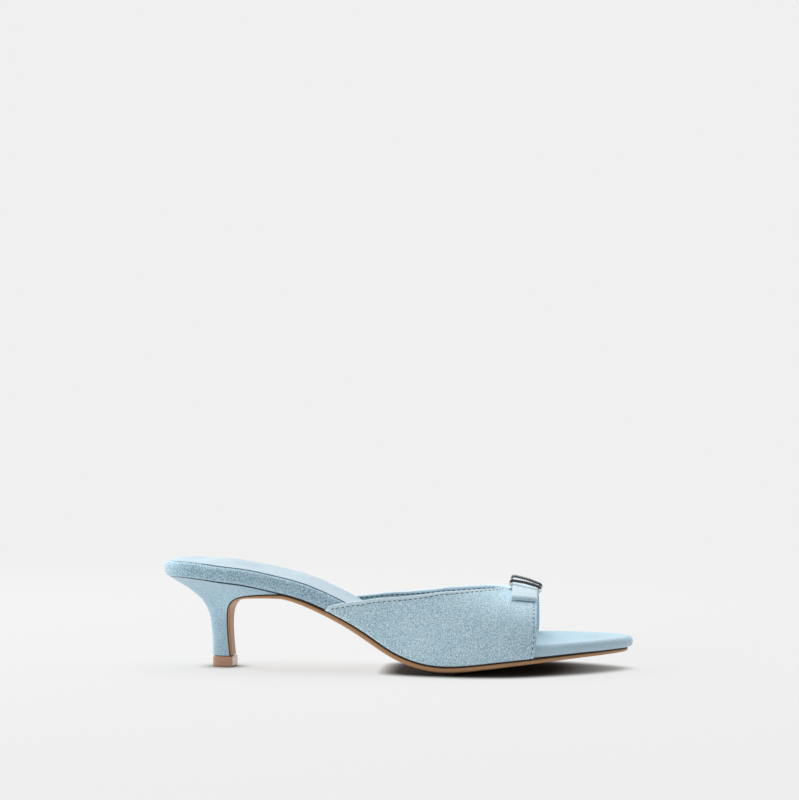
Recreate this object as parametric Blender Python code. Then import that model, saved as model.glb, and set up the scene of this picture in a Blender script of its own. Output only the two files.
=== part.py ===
"""Heeled mule, right shoe: metres, +Z up, toe towards +X, outer (lateral) side towards -Y.

The origin is the centre of the floor face of the heel's top piece. Rows of the tables are stations
along the shoe; their first column is the share of the length, measured from the back of the footbed.
"""
import math
from collections import namedtuple

import bmesh
import bpy
from mathutils import Vector

for leftover in list(bpy.data.objects):
    bpy.data.objects.remove(leftover, do_unlink=True)

MM = 0.001

# Driving sizes
LENGTH = 243.4 * MM
HEEL_BACK = -30.8 * MM
SEAT_HEIGHT = 47.8 * MM
BALL_WIDTH = 76.0 * MM
INSTEP_HEIGHT = 50.0 * MM
GAP = 0.3 * MM
FOOTBED_THICK = 7.6 * MM
SOLE_THICK = 3.1 * MM
WALL = 1.7 * MM
TOP_PIECE_HIGH = 5.6 * MM
TOP_PIECE_LONG = 11.8 * MM
TOP_PIECE_WIDE = 10.2 * MM
STEM_LONG = 9.9 * MM
STEM_WIDE = 9.2 * MM
HEEL_TURN = math.radians(7.0)

# Fineness
SHORT_WAY = 0.004
SAME_POINT = 0.01 * MM
NO_LENGTH = 0.001 * MM

# Plan outline of the footbed: half-widths as shares of the ball width
Plan = namedtuple("Plan", "along lateral medial")
PLAN = [
    Plan(0.000, 0.000, 0.000),
    Plan(0.012, 0.132, 0.132),
    Plan(0.030, 0.203, 0.203),
    Plan(0.060, 0.266, 0.266),
    Plan(0.100, 0.311, 0.311),
    Plan(0.150, 0.335, 0.334),
    Plan(0.200, 0.342, 0.336),
    Plan(0.280, 0.340, 0.313),
    Plan(0.360, 0.336, 0.276),
    Plan(0.440, 0.352, 0.258),
    Plan(0.520, 0.402, 0.291),
    Plan(0.600, 0.458, 0.372),
    Plan(0.660, 0.486, 0.437),
    Plan(0.700, 0.491, 0.474),
    Plan(0.740, 0.483, 0.495),
    Plan(0.780, 0.458, 0.498),
    Plan(0.820, 0.415, 0.483),
    Plan(0.860, 0.357, 0.449),
    Plan(0.900, 0.281, 0.397),
    Plan(0.940, 0.180, 0.322),
    Plan(0.970, 0.080, 0.248),
    Plan(0.990, -0.004, 0.192),
    Plan(0.996, -0.046, 0.156),
    Plan(1.000, -0.105, 0.105),
]

# Underside of the footbed at its edge (share of the seat height), how far its middle hangs below that
# edge (share of the sole's thickness), thickness of the footbed and of the outsole (shares), outsole edge
# beyond the outline (share of the sole's thickness), and the recess that the sock lies in (share)
Seat = namedtuple("Seat", "along height belly footbed sole beyond recess")
SEAT = [
    Seat(0.000, 0.990, 0.00, 0.99, 0.80, -0.65, 1.0),
    Seat(0.045, 1.000, 0.00, 0.99, 0.80, -0.65, 1.0),
    Seat(0.090, 0.986, 0.00, 0.98, 0.80, -0.65, 1.0),
    Seat(0.135, 0.960, 0.00, 0.98, 0.80, -0.65, 1.0),
    Seat(0.180, 0.934, 0.00, 0.99, 0.78, -0.65, 1.0),
    Seat(0.240, 0.870, 0.00, 1.00, 0.74, -0.58, 1.0),
    Seat(0.300, 0.793, 0.06, 0.98, 0.84, -0.48, 1.0),
    Seat(0.360, 0.665, 0.19, 0.97, 0.93, -0.26, 1.0),
    Seat(0.410, 0.535, 0.26, 0.96, 0.98, 0.06, 1.0),
    Seat(0.450, 0.410, 0.32, 0.95, 1.00, 0.26, 1.0),
    Seat(0.490, 0.278, 0.23, 0.95, 0.96, 0.32, 1.0),
    Seat(0.520, 0.200, 0.35, 0.94, 0.95, 0.32, 1.0),
    Seat(0.560, 0.136, 0.71, 0.94, 0.98, 0.32, 1.0),
    Seat(0.600, 0.110, 0.81, 0.94, 1.00, 0.32, 1.0),
    Seat(0.640, 0.115, 0.81, 0.93, 0.97, 0.32, 1.0),
    Seat(0.700, 0.148, 0.71, 0.92, 0.92, 0.29, 1.0),
    Seat(0.740, 0.171, 0.58, 0.92, 0.90, 0.26, 0.0),
    Seat(0.810, 0.203, 0.45, 0.86, 0.84, -0.06, 0.0),
    Seat(0.890, 0.232, 0.29, 0.75, 0.78, -0.45, 0.0),
    Seat(0.970, 0.241, 0.10, 0.73, 0.70, -0.71, 0.0),
    Seat(1.000, 0.240, 0.00, 0.73, 0.66, -0.84, 0.0),
]

# Stations that footbed, sock and outsole share, closer together where the sole bends
STATIONS = [
    0.000, 0.002, 0.008, 0.018, 0.033, 0.055, 0.085, 0.120, 0.160, 0.205, 0.254, 0.290, 0.322, 0.352,
    0.380, 0.405, 0.430, 0.453, 0.475, 0.496, 0.516, 0.536, 0.556, 0.578, 0.602, 0.630, 0.665, 0.705,
    0.745, 0.785, 0.825, 0.860, 0.892, 0.920, 0.944, 0.963, 0.978, 0.989, 0.996, 1.000,
]
WEDGE_END = 0.254

# Top of the last: height of its ridge over the seat as a share of the instep height
Ridge = namedtuple("Ridge", "along height")
RIDGE = [
    Ridge(0.357, 0.998),
    Ridge(0.440, 1.090),
    Ridge(0.505, 1.145),
    Ridge(0.587, 1.034),
    Ridge(0.628, 0.932),
    Ridge(0.669, 0.828),
    Ridge(0.710, 0.734),
    Ridge(0.739, 0.676),
    Ridge(0.772, 0.631),
    Ridge(0.805, 0.585),
    Ridge(0.830, 0.550),
]
RIDGE_SIDE = 3.0 * MM
LAST_ROUNDNESS = 2.4
FEATHER_TUCK = 0.6 * MM
FEATHER_HIGH = 2.4 * MM

# Topline of the band from its rear corner to the throat, outer and inner side: share of the way up
# from the seat to the ridge
Topline = namedtuple("Topline", "along outer inner")
TOPLINE = [
    Topline(0.3560, 0.000, 0.000),
    Topline(0.3610, 0.043, 0.032),
    Topline(0.3690, 0.086, 0.064),
    Topline(0.3880, 0.144, 0.124),
    Topline(0.4300, 0.275, 0.243),
    Topline(0.4750, 0.417, 0.374),
    Topline(0.5400, 0.590, 0.540),
    Topline(0.6000, 0.741, 0.688),
    Topline(0.6500, 0.853, 0.807),
    Topline(0.6900, 0.934, 0.902),
    Topline(0.7200, 0.990, 0.970),
]
THROAT_END = 0.7375
THROAT_CUT = 0.72
THROAT_EASE = 1.6
FRONT_EASE = 1.25
BAND_ACROSS = 44
BAND_LONG = 18

# Front edge of the band, from the outer feather over the top to the inner feather
Front = namedtuple("Front", "turn along")
FRONT = [
    Front(0.00, 0.7967),
    Front(0.05, 0.8017),
    Front(0.12, 0.8035),
    Front(0.28, 0.8017),
    Front(0.50, 0.7992),
    Front(0.75, 0.7972),
    Front(0.92, 0.7957),
    Front(1.00, 0.7917),
]

# Heel, from its seat down to the top piece: share of the drop, and shares of the way from the seat's
# edge to the stem at the back, at the sides and at the front
Flare = namedtuple("Flare", "row drop back side front")
FLARE = [
    Flare(0.00, 0.000, 0.000, 0.000, 0.000),
    Flare(0.06, 0.012, 0.026, 0.060, 0.300),
    Flare(0.13, 0.030, 0.068, 0.160, 0.520),
    Flare(0.20, 0.055, 0.134, 0.310, 0.690),
    Flare(0.28, 0.095, 0.258, 0.470, 0.830),
    Flare(0.36, 0.150, 0.418, 0.640, 0.930),
    Flare(0.44, 0.225, 0.603, 0.775, 1.000),
    Flare(0.52, 0.310, 0.762, 0.875, 1.033),
    Flare(0.61, 0.420, 0.880, 0.940, 1.045),
    Flare(0.71, 0.550, 0.950, 0.975, 1.045),
    Flare(0.84, 0.760, 0.990, 0.995, 1.030),
    Flare(1.00, 1.000, 1.000, 1.000, 1.000),
]
HEEL_ROWS = 22
HEEL_SIDE_COLUMNS = 14
HEEL_FRONT_COLUMNS = 4
HEEL_INSET = 2.2 * MM
FLAP_THICK = 1.3 * MM
FLAP_INSET = 0.25 * MM
FLAP_THINS_BY = 0.2
FLAP_THINNING = 0.7
STEM_SET_BACK = 0.3 * MM
D_ROUNDNESS = 2.4

# Top piece: height of each ring and how far it is set in, as shares of its height
Rim = namedtuple("Rim", "height inset")
TOP_PIECE_RIMS = [
    Rim(0.00, 0.045),
    Rim(0.09, 0.000),
    Rim(0.95, 0.000),
    Rim(1.00, 0.027),
]

# Edge profiles: how far out from the outline, as a share of the sheet's full thickness (of the margin for
# the sock), and how far up through the thickness
Edge = namedtuple("Edge", "out up")
FOOTBED_EDGE = [
    Edge(-0.26, 0.00),
    Edge(-0.10, 0.08),
    Edge(-0.03, 0.28),
    Edge(0.00, 0.55),
    Edge(-0.04, 0.76),
    Edge(-0.15, 0.93),
    Edge(-0.29, 1.00),
    Edge(-0.37, 1.00),
]
SOLE_EDGE = [
    Edge(-0.48, -1.00),
    Edge(-0.16, -0.86),
    Edge(0.00, -0.55),
    Edge(0.00, -0.15),
    Edge(-0.16, 0.00),
]
SOCK_EDGE = [
    Edge(-1.00, 0.00),
    Edge(-0.97, 0.60),
    Edge(-1.06, 1.00),
]
SOCK_MARGIN = 3.3 * MM
SOCK_THICK = 0.8 * MM
RECESS = 0.8 * MM
RECESS_LEAN = 0.004
BELLY_FLATNESS = 3.0
SOCK_END = 0.705
SOCK_CORNER = 0.045
SOCK_CORNER_STEPS = (1.0, 0.6, 0.3, 0.1, 0.02)
SOCK_CORNER_ROUNDNESS = 3.0
PAD_HIGH = 2.5 * MM
PAD_CENTRE = 0.138
PAD_HALF = 0.078

# Strap and buckle
STRAP_BACK = 0.7475
STRAP_FRONT = 0.8000
STRAP_LATERAL = -22.3 * MM
STRAP_MEDIAL = 21.0 * MM
STRAP_SKEW = 3.8 * MM
STRAP_LAYER = 0.9 * MM
STRAP_LIFT = 0.35 * MM
STRAP_PINCH = 2.3 * MM
STRAP_PUFF = 1.5 * MM
STRAP_BULGE = 0.45
STRAP_STEPS = 20
STRAP_SECTIONS = (0.0, 0.5, 1.0)
BUCKLE_LATERAL = -7.0 * MM
BUCKLE_MEDIAL = 7.0 * MM
WIRE = 0.8 * MM
WIRE_ARCH = 5.9 * MM
WIRE_LOW = 2.5 * MM
WIRE_BEND = 1.5 * MM
WIRE_SIDES = 8
BEND_STEPS = 3
BEND_ROOM = 0.45
WIRE_STOPS = (0.2, 0.4, 0.6, 0.8)

# Surfaces: base colour (linear), roughness, metallic
SUEDE = ("suede_cloth", (0.36, 0.56, 0.66), 0.95, 0.0)
LINING = ("sock_lining", (0.55, 0.70, 0.78), 0.60, 0.0)
BOARD = ("sole_board", (0.34, 0.20, 0.13), 0.50, 0.0)
LIFT = ("top_piece_rubber", (0.36, 0.22, 0.14), 0.30, 0.0)
CHROME = ("chrome", (0.80, 0.81, 0.83), 0.12, 1.0)


def lerp(a, b, share):
    return a + (b - a) * share


def read(rows, column, along):
    """Value of a table's column at a station, as a smooth curve through its rows."""
    keys = [row[0] for row in rows]
    values = [getattr(row, column) for row in rows]
    along = min(max(along, keys[0]), keys[-1])
    last = len(keys) - 1
    i = 0
    while i < last - 1 and along > keys[i + 1]:
        i += 1

    def steepness(k):
        low = max(k - 1, 0)
        high = min(k + 1, last)
        return (values[high] - values[low]) / (keys[high] - keys[low])

    span = keys[i + 1] - keys[i]
    t = (along - keys[i]) / span
    start = steepness(i) * span
    end = steepness(i + 1) * span
    t2 = t * t
    t3 = t2 * t
    return (
        values[i] * (2 * t3 - 3 * t2 + 1)
        + start * (t3 - 2 * t2 + t)
        + values[i + 1] * (3 * t2 - 2 * t3)
        + end * (t3 - t2)
    )


def turned(along):
    """The station as an angle, in which the round ends of the outline are even."""
    return math.acos(1.0 - 2.0 * min(max(along, 0.0), 1.0))


PLAN_TURNED = [Plan(turned(row.along), row.lateral, row.medial) for row in PLAN]


def lateral(along):
    return read(PLAN_TURNED, "lateral", turned(along)) * BALL_WIDTH


def medial(along):
    return read(PLAN_TURNED, "medial", turned(along)) * BALL_WIDTH


def x_at(along):
    return HEEL_BACK + along * LENGTH


def seat_z(along):
    return read(SEAT, "height", along) * SEAT_HEIGHT


def seat_slope(along):
    """Angle of the footbed's underside, negative where it falls towards the toe."""
    low = max(along - SHORT_WAY, 0.0)
    high = min(along + SHORT_WAY, 1.0)
    return math.atan2(seat_z(high) - seat_z(low), (high - low) * LENGTH)


def material(look):
    name, colour, roughness, metallic = look
    made = bpy.data.materials.get(name)
    if made is None:
        made = bpy.data.materials.new(name)
        made.use_nodes = True
        shader = made.node_tree.nodes["Principled BSDF"]
        shader.inputs["Base Color"].default_value = (*colour, 1.0)
        shader.inputs["Roughness"].default_value = roughness
        shader.inputs["Metallic"].default_value = metallic
    return made


def solid(name, points, faces, look):
    """A closed body from points and faces; points that fall together become one."""
    mesh = bpy.data.meshes.new(name)
    mesh.from_pydata([tuple(p) for p in points], [], faces)
    body = bmesh.new()
    body.from_mesh(mesh)
    bmesh.ops.remove_doubles(body, verts=body.verts, dist=SAME_POINT)
    bmesh.ops.dissolve_degenerate(body, edges=body.edges, dist=NO_LENGTH)
    bmesh.ops.recalc_face_normals(body, faces=body.faces)
    for face in body.faces:
        face.smooth = True
    body.to_mesh(mesh)
    body.free()
    mesh.materials.append(material(look))
    made = bpy.data.objects.new(name, mesh)
    bpy.context.scene.collection.objects.link(made)
    return made


def loft(rings, start=False, end=False):
    """Points and faces of a skin over rings of equal count, closed across at either end on request."""
    count = len(rings[0])
    points = [p for ring in rings for p in ring]
    faces = []
    for r in range(len(rings) - 1):
        for c in range(count):
            d = (c + 1) % count
            faces.append((r * count + c, r * count + d, (r + 1) * count + d, (r + 1) * count + c))
    for wanted, base in ((start, 0), (end, (len(rings) - 1) * count)):
        for c in range(count // 2 - 1 if wanted else 0):
            faces.append((base + c, base + c + 1, base + count - 2 - c, base + count - 1 - c))
    return points, faces


Station = namedtuple("Station", "lateral medial up thick belly")


def seat_stations(alongs, lift=0.0, thick=0.0):
    """Stations over the footbed's underside, raised along its own normal, from toe to heel."""
    found = []
    for along in sorted(alongs, reverse=True):
        slope = seat_slope(along)
        up = Vector((-math.sin(slope), 0.0, math.cos(slope)))
        z = seat_z(along)
        rise = lift(along) if callable(lift) else lift
        left = Vector((x_at(along), -lateral(along), z)) + up * rise
        right = Vector((x_at(along), medial(along), z)) + up * rise
        high_now = thick(along) if callable(thick) else thick
        found.append(Station(left, right, up, high_now, read(SEAT, "belly", along) * SOLE_THICK))
    return found


def outward(stations, side):
    """Directions out of the outline at each station, square to its edge and to the sheet's normal."""
    ends = [getattr(s, side) for s in stations]
    sign = 1.0 if side == "lateral" else -1.0
    found = []
    for i, here in enumerate(stations):
        closed = (here.lateral - here.medial).length < SAME_POINT
        if closed and i == 0:
            along_edge = (stations[1].lateral - stations[1].medial) * sign
        elif closed:
            along_edge = (stations[i - 1].medial - stations[i - 1].lateral) * sign
        else:
            before = ends[max(i - 1, 0)]
            after = ends[min(i + 1, len(ends) - 1)]
            along_edge = after - before
        out = here.up.cross(along_edge) * sign
        found.append(out.normalized())
    return found


def sheet(stations, edge, depth, beyond=None, across=6, pad=None, recess=None, floor=False):
    """Rings of a sheet with a shaped edge: underside, one edge, upper side, other edge."""
    out_lateral = outward(stations, "lateral")
    out_medial = outward(stations, "medial")
    rings = []
    for i, s in enumerate(stations):
        extra = beyond[i] if beyond else 0.0
        left = [s.lateral + out_lateral[i] * (e.out * depth + extra) + s.up * (e.up * s.thick) for e in edge]
        right = [s.medial + out_medial[i] * (e.out * depth + extra) + s.up * (e.up * s.thick) for e in edge]
        if recess:
            sunk = s.up * recess(i)
            left.append(left[-1].lerp(right[-1], RECESS_LEAN) - sunk)
            right.append(right[-1].lerp(left[-2], RECESS_LEAN) - sunk)
        under = []
        over = []
        for c in range(1, across):
            q = 2.0 * c / across - 1.0
            sag = s.up * (s.belly * (1.0 - abs(q) ** BELLY_FLATNESS))
            under.append(left[0].lerp(right[0], c / across) - sag)
            raised = s.up * (pad(i) * (1.0 - q * q) ** 2) if pad else Vector()
            over.append(left[-1].lerp(right[-1], c / across) - sag + raised)
        ring = under + right + list(reversed(over)) + list(reversed(left))
        if floor:
            ring = [Vector((p.x, p.y, max(p.z, 0.0))) for p in ring]
        rings.append(ring)
    return rings


# Footbed
def footbed_thick(along):
    return read(SEAT, "footbed", along) * FOOTBED_THICK


footbed_stations = seat_stations(STATIONS, thick=footbed_thick)
footbed_order = sorted(STATIONS, reverse=True)


def recess_depth(i):
    return read(SEAT, "recess", footbed_order[i]) * RECESS


points, faces = loft(sheet(footbed_stations, FOOTBED_EDGE, FOOTBED_THICK, recess=recess_depth))
solid("footbed", points, faces, SUEDE)


# Sock
def sock_lift(along):
    return footbed_thick(along) + GAP - read(SEAT, "recess", along) * RECESS


sock_alongs = [a for a in STATIONS if a < SOCK_END - SOCK_CORNER]
sock_alongs += [SOCK_END - SOCK_CORNER * share for share in SOCK_CORNER_STEPS]
sock_stations = seat_stations(sock_alongs, lift=sock_lift, thick=SOCK_THICK)
sock_stations_narrowed = []
for s, along in zip(sock_stations, sorted(sock_alongs, reverse=True)):
    into = max(0.0, (along - (SOCK_END - SOCK_CORNER)) / SOCK_CORNER)
    narrow = (1.0 - into ** SOCK_CORNER_ROUNDNESS) ** (1.0 / SOCK_CORNER_ROUNDNESS)
    middle = (s.lateral + s.medial) * 0.5
    sock_stations_narrowed.append(s._replace(
        lateral=middle.lerp(s.lateral, narrow),
        medial=middle.lerp(s.medial, narrow),
    ))
sock_order = sorted(sock_alongs, reverse=True)


def pad_height(i):
    away = (sock_order[i] - PAD_CENTRE) / PAD_HALF
    return PAD_HIGH * max(0.0, 1.0 - away * away) ** 2


points, faces = loft(sheet(sock_stations_narrowed, SOCK_EDGE, SOCK_MARGIN, pad=pad_height), start=True)
solid("sock", points, faces, LINING)


# Heel
def d_point(share, long, wide, front, side):
    """A point on a D-shaped plan from its back (share 0) to its front corner (share 1), turned."""
    turn = math.cos(share * math.pi / 2.0)
    forward = front - long * turn
    aside = side * 0.5 * wide * (1.0 - turn ** D_ROUNDNESS) ** (1.0 / D_ROUNDNESS)
    x = forward * math.cos(HEEL_TURN) + aside * math.sin(HEEL_TURN)
    y = -forward * math.sin(HEEL_TURN) + aside * math.cos(HEEL_TURN)
    return x, y


top_piece_front = TOP_PIECE_LONG / 2.0
stem_front = top_piece_front - FLAP_THICK - GAP - STEM_SET_BACK
heel_foot = TOP_PIECE_HIGH + GAP


def seat_point(share, side):
    """A point on the heel's seat: the footbed's outline set in, from the back to the wedge's corner."""
    along = WEDGE_END * (1.0 - math.cos(share * math.pi / 2.0))
    half = medial if side > 0 else lateral
    low = max(along - SHORT_WAY, 0.0)
    high = along + SHORT_WAY
    run = (high - low) * LENGTH
    rise = half(high) - half(low)
    size = math.hypot(run, rise)
    x = x_at(along) + HEEL_INSET * rise / size
    y = max(half(along) - HEEL_INSET * run / size, 0.0)
    if share == 0.0:
        x = HEEL_BACK + HEEL_INSET
        y = 0.0
    return x, side * y


def heel_column(share, side, row):
    seat_x, seat_y = seat_point(share, side)
    stem_x, stem_y = d_point(share, STEM_LONG, STEM_WIDE, stem_front, side)
    forward = math.sin(share * math.pi / 2.0) ** 2
    way_x = lerp(read(FLARE, "back", row), read(FLARE, "front", row), forward)
    way_y = read(FLARE, "side", row)
    top = seat_z((seat_x - HEEL_BACK) / LENGTH) - GAP
    return Vector((
        lerp(seat_x, stem_x, way_x),
        lerp(seat_y, stem_y, way_y),
        lerp(top, heel_foot, read(FLARE, "drop", row)),
    ))


rows = [r / HEEL_ROWS for r in range(HEEL_ROWS + 1)]
rings = []
for row in rows:
    left = [heel_column(c / HEEL_SIDE_COLUMNS, -1.0, row) for c in range(HEEL_SIDE_COLUMNS + 1)]
    right = [heel_column(c / HEEL_SIDE_COLUMNS, 1.0, row) for c in range(HEEL_SIDE_COLUMNS + 1)]
    front = [left[-1].lerp(right[-1], c / HEEL_FRONT_COLUMNS) for c in range(1, HEEL_FRONT_COLUMNS)]
    rings.append(left + front + list(reversed(right)))
points, faces = loft(rings)
count = len(rings[0])
for base in (0, HEEL_ROWS * count):
    for c in range(HEEL_SIDE_COLUMNS):
        faces.append((base + c, base + c + 1, base + count - 2 - c, base + count - 1 - c))
    corner = base + HEEL_SIDE_COLUMNS
    faces.append(tuple(corner + c for c in range(HEEL_FRONT_COLUMNS + 1)))
solid("heel", points, faces, SUEDE)

# Top piece
rings = []
for rim in TOP_PIECE_RIMS:
    inset = rim.inset * TOP_PIECE_HIGH
    long = TOP_PIECE_LONG - 2.0 * inset
    wide = TOP_PIECE_WIDE - 2.0 * inset
    left = []
    right = []
    for c in range(HEEL_SIDE_COLUMNS + 1):
        for side, found in ((-1.0, left), (1.0, right)):
            x, y = d_point(c / HEEL_SIDE_COLUMNS, long, wide, top_piece_front - inset, side)
            found.append(Vector((x, y, rim.height * TOP_PIECE_HIGH)))
    rings.append(left + list(reversed(right)))
points, faces = loft(rings, start=True, end=True)
solid("top_piece", points, faces, LIFT)


# Outsole: the flat run from the toe to the wedge, then the flap that follows the heel's front
def sole_thick(along):
    return read(SEAT, "sole", along) * SOLE_THICK


sole_alongs = [a for a in STATIONS if a >= WEDGE_END]
sole_stations = seat_stations(sole_alongs, lift=-GAP, thick=sole_thick)
sole_beyond = [read(SEAT, "beyond", a) * SOLE_THICK for a in sorted(sole_alongs, reverse=True)]
flap_rows = rows[1:]
corners = [(heel_column(1.0, -1.0, row), heel_column(1.0, 1.0, row)) for row in rows]
first = sole_stations[-1]
for i, row in enumerate(flap_rows, start=1):
    left, right = corners[i]
    before = (corners[i - 1][0] + corners[i - 1][1]) * 0.5
    after_left, after_right = corners[min(i + 1, len(corners) - 1)]
    after = (after_left + after_right) * 0.5
    up = (right - left).cross(after - before).normalized()
    thin = lerp(first.thick, FLAP_THICK, min(1.0, row / FLAP_THINS_BY) ** FLAP_THINNING)
    narrow = (right - left).normalized() * FLAP_INSET
    sole_stations.append(Station(left - up * GAP + narrow, right - up * GAP - narrow, up, thin, 0.0))
    sole_beyond.append(0.0)
sole_stations[len(sole_alongs) - 1] = first._replace(belly=0.0)
rings = sheet(sole_stations, SOLE_EDGE, SOLE_THICK, beyond=sole_beyond, across=9, floor=True)
points, faces = loft(rings, end=True)
solid("outsole", points, faces, BOARD)


# Upper
def last_section(along, grow, above=0.0):
    """Centre line, half-widths, base and height of the last's section, grown outwards.

    The footbed rises square to its underside, so the width at a height above it is taken
    from the station the footbed's edge rises from.
    """
    base = seat_z(along)
    lean = math.sin(2.0 * seat_slope(along)) * 0.5
    foot = along + lean * min(above, FOOTBED_THICK) / LENGTH
    left = lateral(foot) + GAP + grow
    right = medial(foot) + GAP + grow
    high = read(RIDGE, "height", along) * INSTEP_HEIGHT - WALL + grow
    return RIDGE_SIDE, left + RIDGE_SIDE, right - RIDGE_SIDE, base, high


def on_last(along, turn, grow):
    """A point of the last's surface: turn runs from 0 at the outer feather to 1 at the inner one."""
    angle = turn * math.pi
    power = 2.0 / LAST_ROUNDNESS
    up_share = max(math.sin(angle), 0.0) ** power
    high = last_section(along, grow)[-1]
    centre, left, right, base, high = last_section(along, grow, high * up_share)
    wide = left if turn < 0.5 else right
    side = -1.0 if turn < 0.5 else 1.0
    tuck = FEATHER_TUCK * grow / WALL * max(0.0, 1.0 - high * up_share / FEATHER_HIGH) ** 2
    aside = (wide - tuck) * abs(math.cos(angle)) ** power
    return Vector((x_at(along), centre + side * aside, base + high * up_share))


def turn_at_share(share):
    """How far round the last's section its side reaches a share of the way up to the ridge."""
    return math.asin(share ** (LAST_ROUNDNESS / 2.0)) / math.pi


def throat(share):
    """Topline from the outer rear corner (0) over the middle of the throat (0.5) to the inner one (1)."""
    side = "outer" if share < 0.5 else "inner"
    way = 1.0 - abs(share - 0.5) * 2.0
    first_row = TOPLINE[0].along
    last_row = TOPLINE[-1].along
    if way <= THROAT_CUT:
        along = lerp(first_row, last_row, math.sin(way / THROAT_CUT * math.pi / 2.0) ** THROAT_EASE)
        turn = turn_at_share(read(TOPLINE, side, along))
    else:
        t = (way - THROAT_CUT) / (1.0 - THROAT_CUT)
        end_turn = turn_at_share(getattr(TOPLINE[-1], side))
        turn = lerp(end_turn, 0.5, t)
        along = lerp(last_row, THROAT_END, 1.0 - (1.0 - t) ** 2)
    return along, turn if share < 0.5 else 1.0 - turn


def band_point(i, j, grow):
    """Node of the band: i across from feather to feather, j from the topline to the front edge."""
    share = i / BAND_ACROSS
    along_top, turn_top = throat(share)
    way = 1.0 - abs(share - 0.5) * 2.0
    turn_front = 0.5 * way ** FRONT_EASE
    if share > 0.5:
        turn_front = 1.0 - turn_front
    t = j / BAND_LONG
    turn = lerp(turn_top, turn_front, t)
    along = lerp(along_top, read(FRONT, "along", turn_front), t)
    return on_last(along, turn, grow)


outer = [[band_point(i, j, WALL) for j in range(BAND_LONG + 1)] for i in range(BAND_ACROSS + 1)]
inner = [[band_point(i, j, 0.0) for j in range(BAND_LONG + 1)] for i in range(BAND_ACROSS + 1)]
rings = []
for i in range(BAND_ACROSS + 1):
    rings.append(outer[i] + list(reversed(inner[i])))
points, faces = loft(rings, start=True, end=True)
solid("upper", points, faces, SUEDE)


# Strap
def over_band(along, y, lift):
    """A point above the band's outer face at a given side position."""
    centre, left, right, base, high = last_section(along, WALL)
    aside = y - centre
    wide = left if aside < 0.0 else right
    share = (1.0 - min(abs(aside) / wide, 1.0) ** LAST_ROUNDNESS) ** (1.0 / LAST_ROUNDNESS)
    return Vector((x_at(along), y, base + high * share + lift))


def strap_loop(section, face):
    """Closed line of the flattened loop at a share of its width: its outer face (1) or inner face (0)."""
    along = lerp(STRAP_BACK, STRAP_FRONT, section)
    pull = STRAP_LAYER * (1.0 - face)
    under = []
    over = []
    for k in range(STRAP_STEPS + 1):
        share = k / STRAP_STEPS
        y = lerp(STRAP_LATERAL + section * STRAP_SKEW + pull, STRAP_MEDIAL - pull, share)
        hollow = lerp(STRAP_PINCH, STRAP_PUFF, abs(share - 0.5) * 2.0)
        low = STRAP_LIFT + pull
        under.append(over_band(along, y, low))
        over.append(over_band(along, y, low + hollow + 2.0 * STRAP_LAYER * face))
    ends = []
    for low, high, side in ((under[-1], over[-1], 1.0), (under[0], over[0], -1.0)):
        bulge = STRAP_BULGE * (high - low).length
        ends.append((low + high) * 0.5 + Vector((0.0, side * bulge, -0.5 * bulge)))
    return under + [ends[0]] + list(reversed(over)) + [ends[1]]


outer_loops = [strap_loop(section, 1.0) for section in STRAP_SECTIONS]
inner_loops = [strap_loop(section, 0.0) for section in reversed(STRAP_SECTIONS)]
points, faces = loft(outer_loops + inner_loops + [outer_loops[0]])
solid("strap", points, faces, SUEDE)

# Buckle
buckle_back = STRAP_BACK - (WIRE + GAP) / LENGTH
buckle_front = STRAP_FRONT + (WIRE + GAP) / LENGTH
corner_line = [
    (buckle_front, BUCKLE_LATERAL, WIRE_LOW),
    (buckle_front, BUCKLE_LATERAL, WIRE_ARCH),
    (buckle_back, BUCKLE_LATERAL, WIRE_ARCH),
    (buckle_back, BUCKLE_LATERAL, WIRE_LOW),
    (buckle_back, BUCKLE_MEDIAL, WIRE_LOW),
    (buckle_back, BUCKLE_MEDIAL, WIRE_ARCH),
    (buckle_front, BUCKLE_MEDIAL, WIRE_ARCH),
    (buckle_front, BUCKLE_MEDIAL, WIRE_LOW),
]
corner_points = [over_band(*corner) for corner in corner_line]
path = []
for i, here in enumerate(corner_points):
    before = corner_points[i - 1]
    after = corner_points[(i + 1) % len(corner_points)]
    start = here + (before - here).normalized() * min(WIRE_BEND, BEND_ROOM * (before - here).length)
    end = here + (after - here).normalized() * min(WIRE_BEND, BEND_ROOM * (after - here).length)
    for k in range(BEND_STEPS + 1):
        t = k / BEND_STEPS
        path.append(start.lerp(here, t).lerp(here.lerp(end, t), t))
    if corner_line[i][1] != corner_line[(i + 1) % len(corner_line)][1]:
        for share in WIRE_STOPS:
            y = lerp(here.y, after.y, share)
            path.append(over_band(corner_line[i][0], y, WIRE_LOW))
middle = sum(path, Vector()) / len(path)
rings = []
for i, here in enumerate(path):
    ahead = (path[(i + 1) % len(path)] - path[i - 1]).normalized()
    away = here - middle
    away.z = 0.0
    over = ahead.cross(away).normalized()
    aside = over.cross(ahead).normalized()
    ring = []
    for k in range(WIRE_SIDES):
        angle = k * 2.0 * math.pi / WIRE_SIDES
        ring.append(here + aside * (WIRE * math.cos(angle)) + over * (WIRE * math.sin(angle)))
    rings.append(ring)
points, faces = loft(rings + [rings[0]])
solid("buckle", points, faces, CHROME)
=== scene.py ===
import math
from collections import namedtuple

import bmesh
import bpy
from mathutils import Matrix, Vector
from mathutils.kdtree import KDTree


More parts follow.
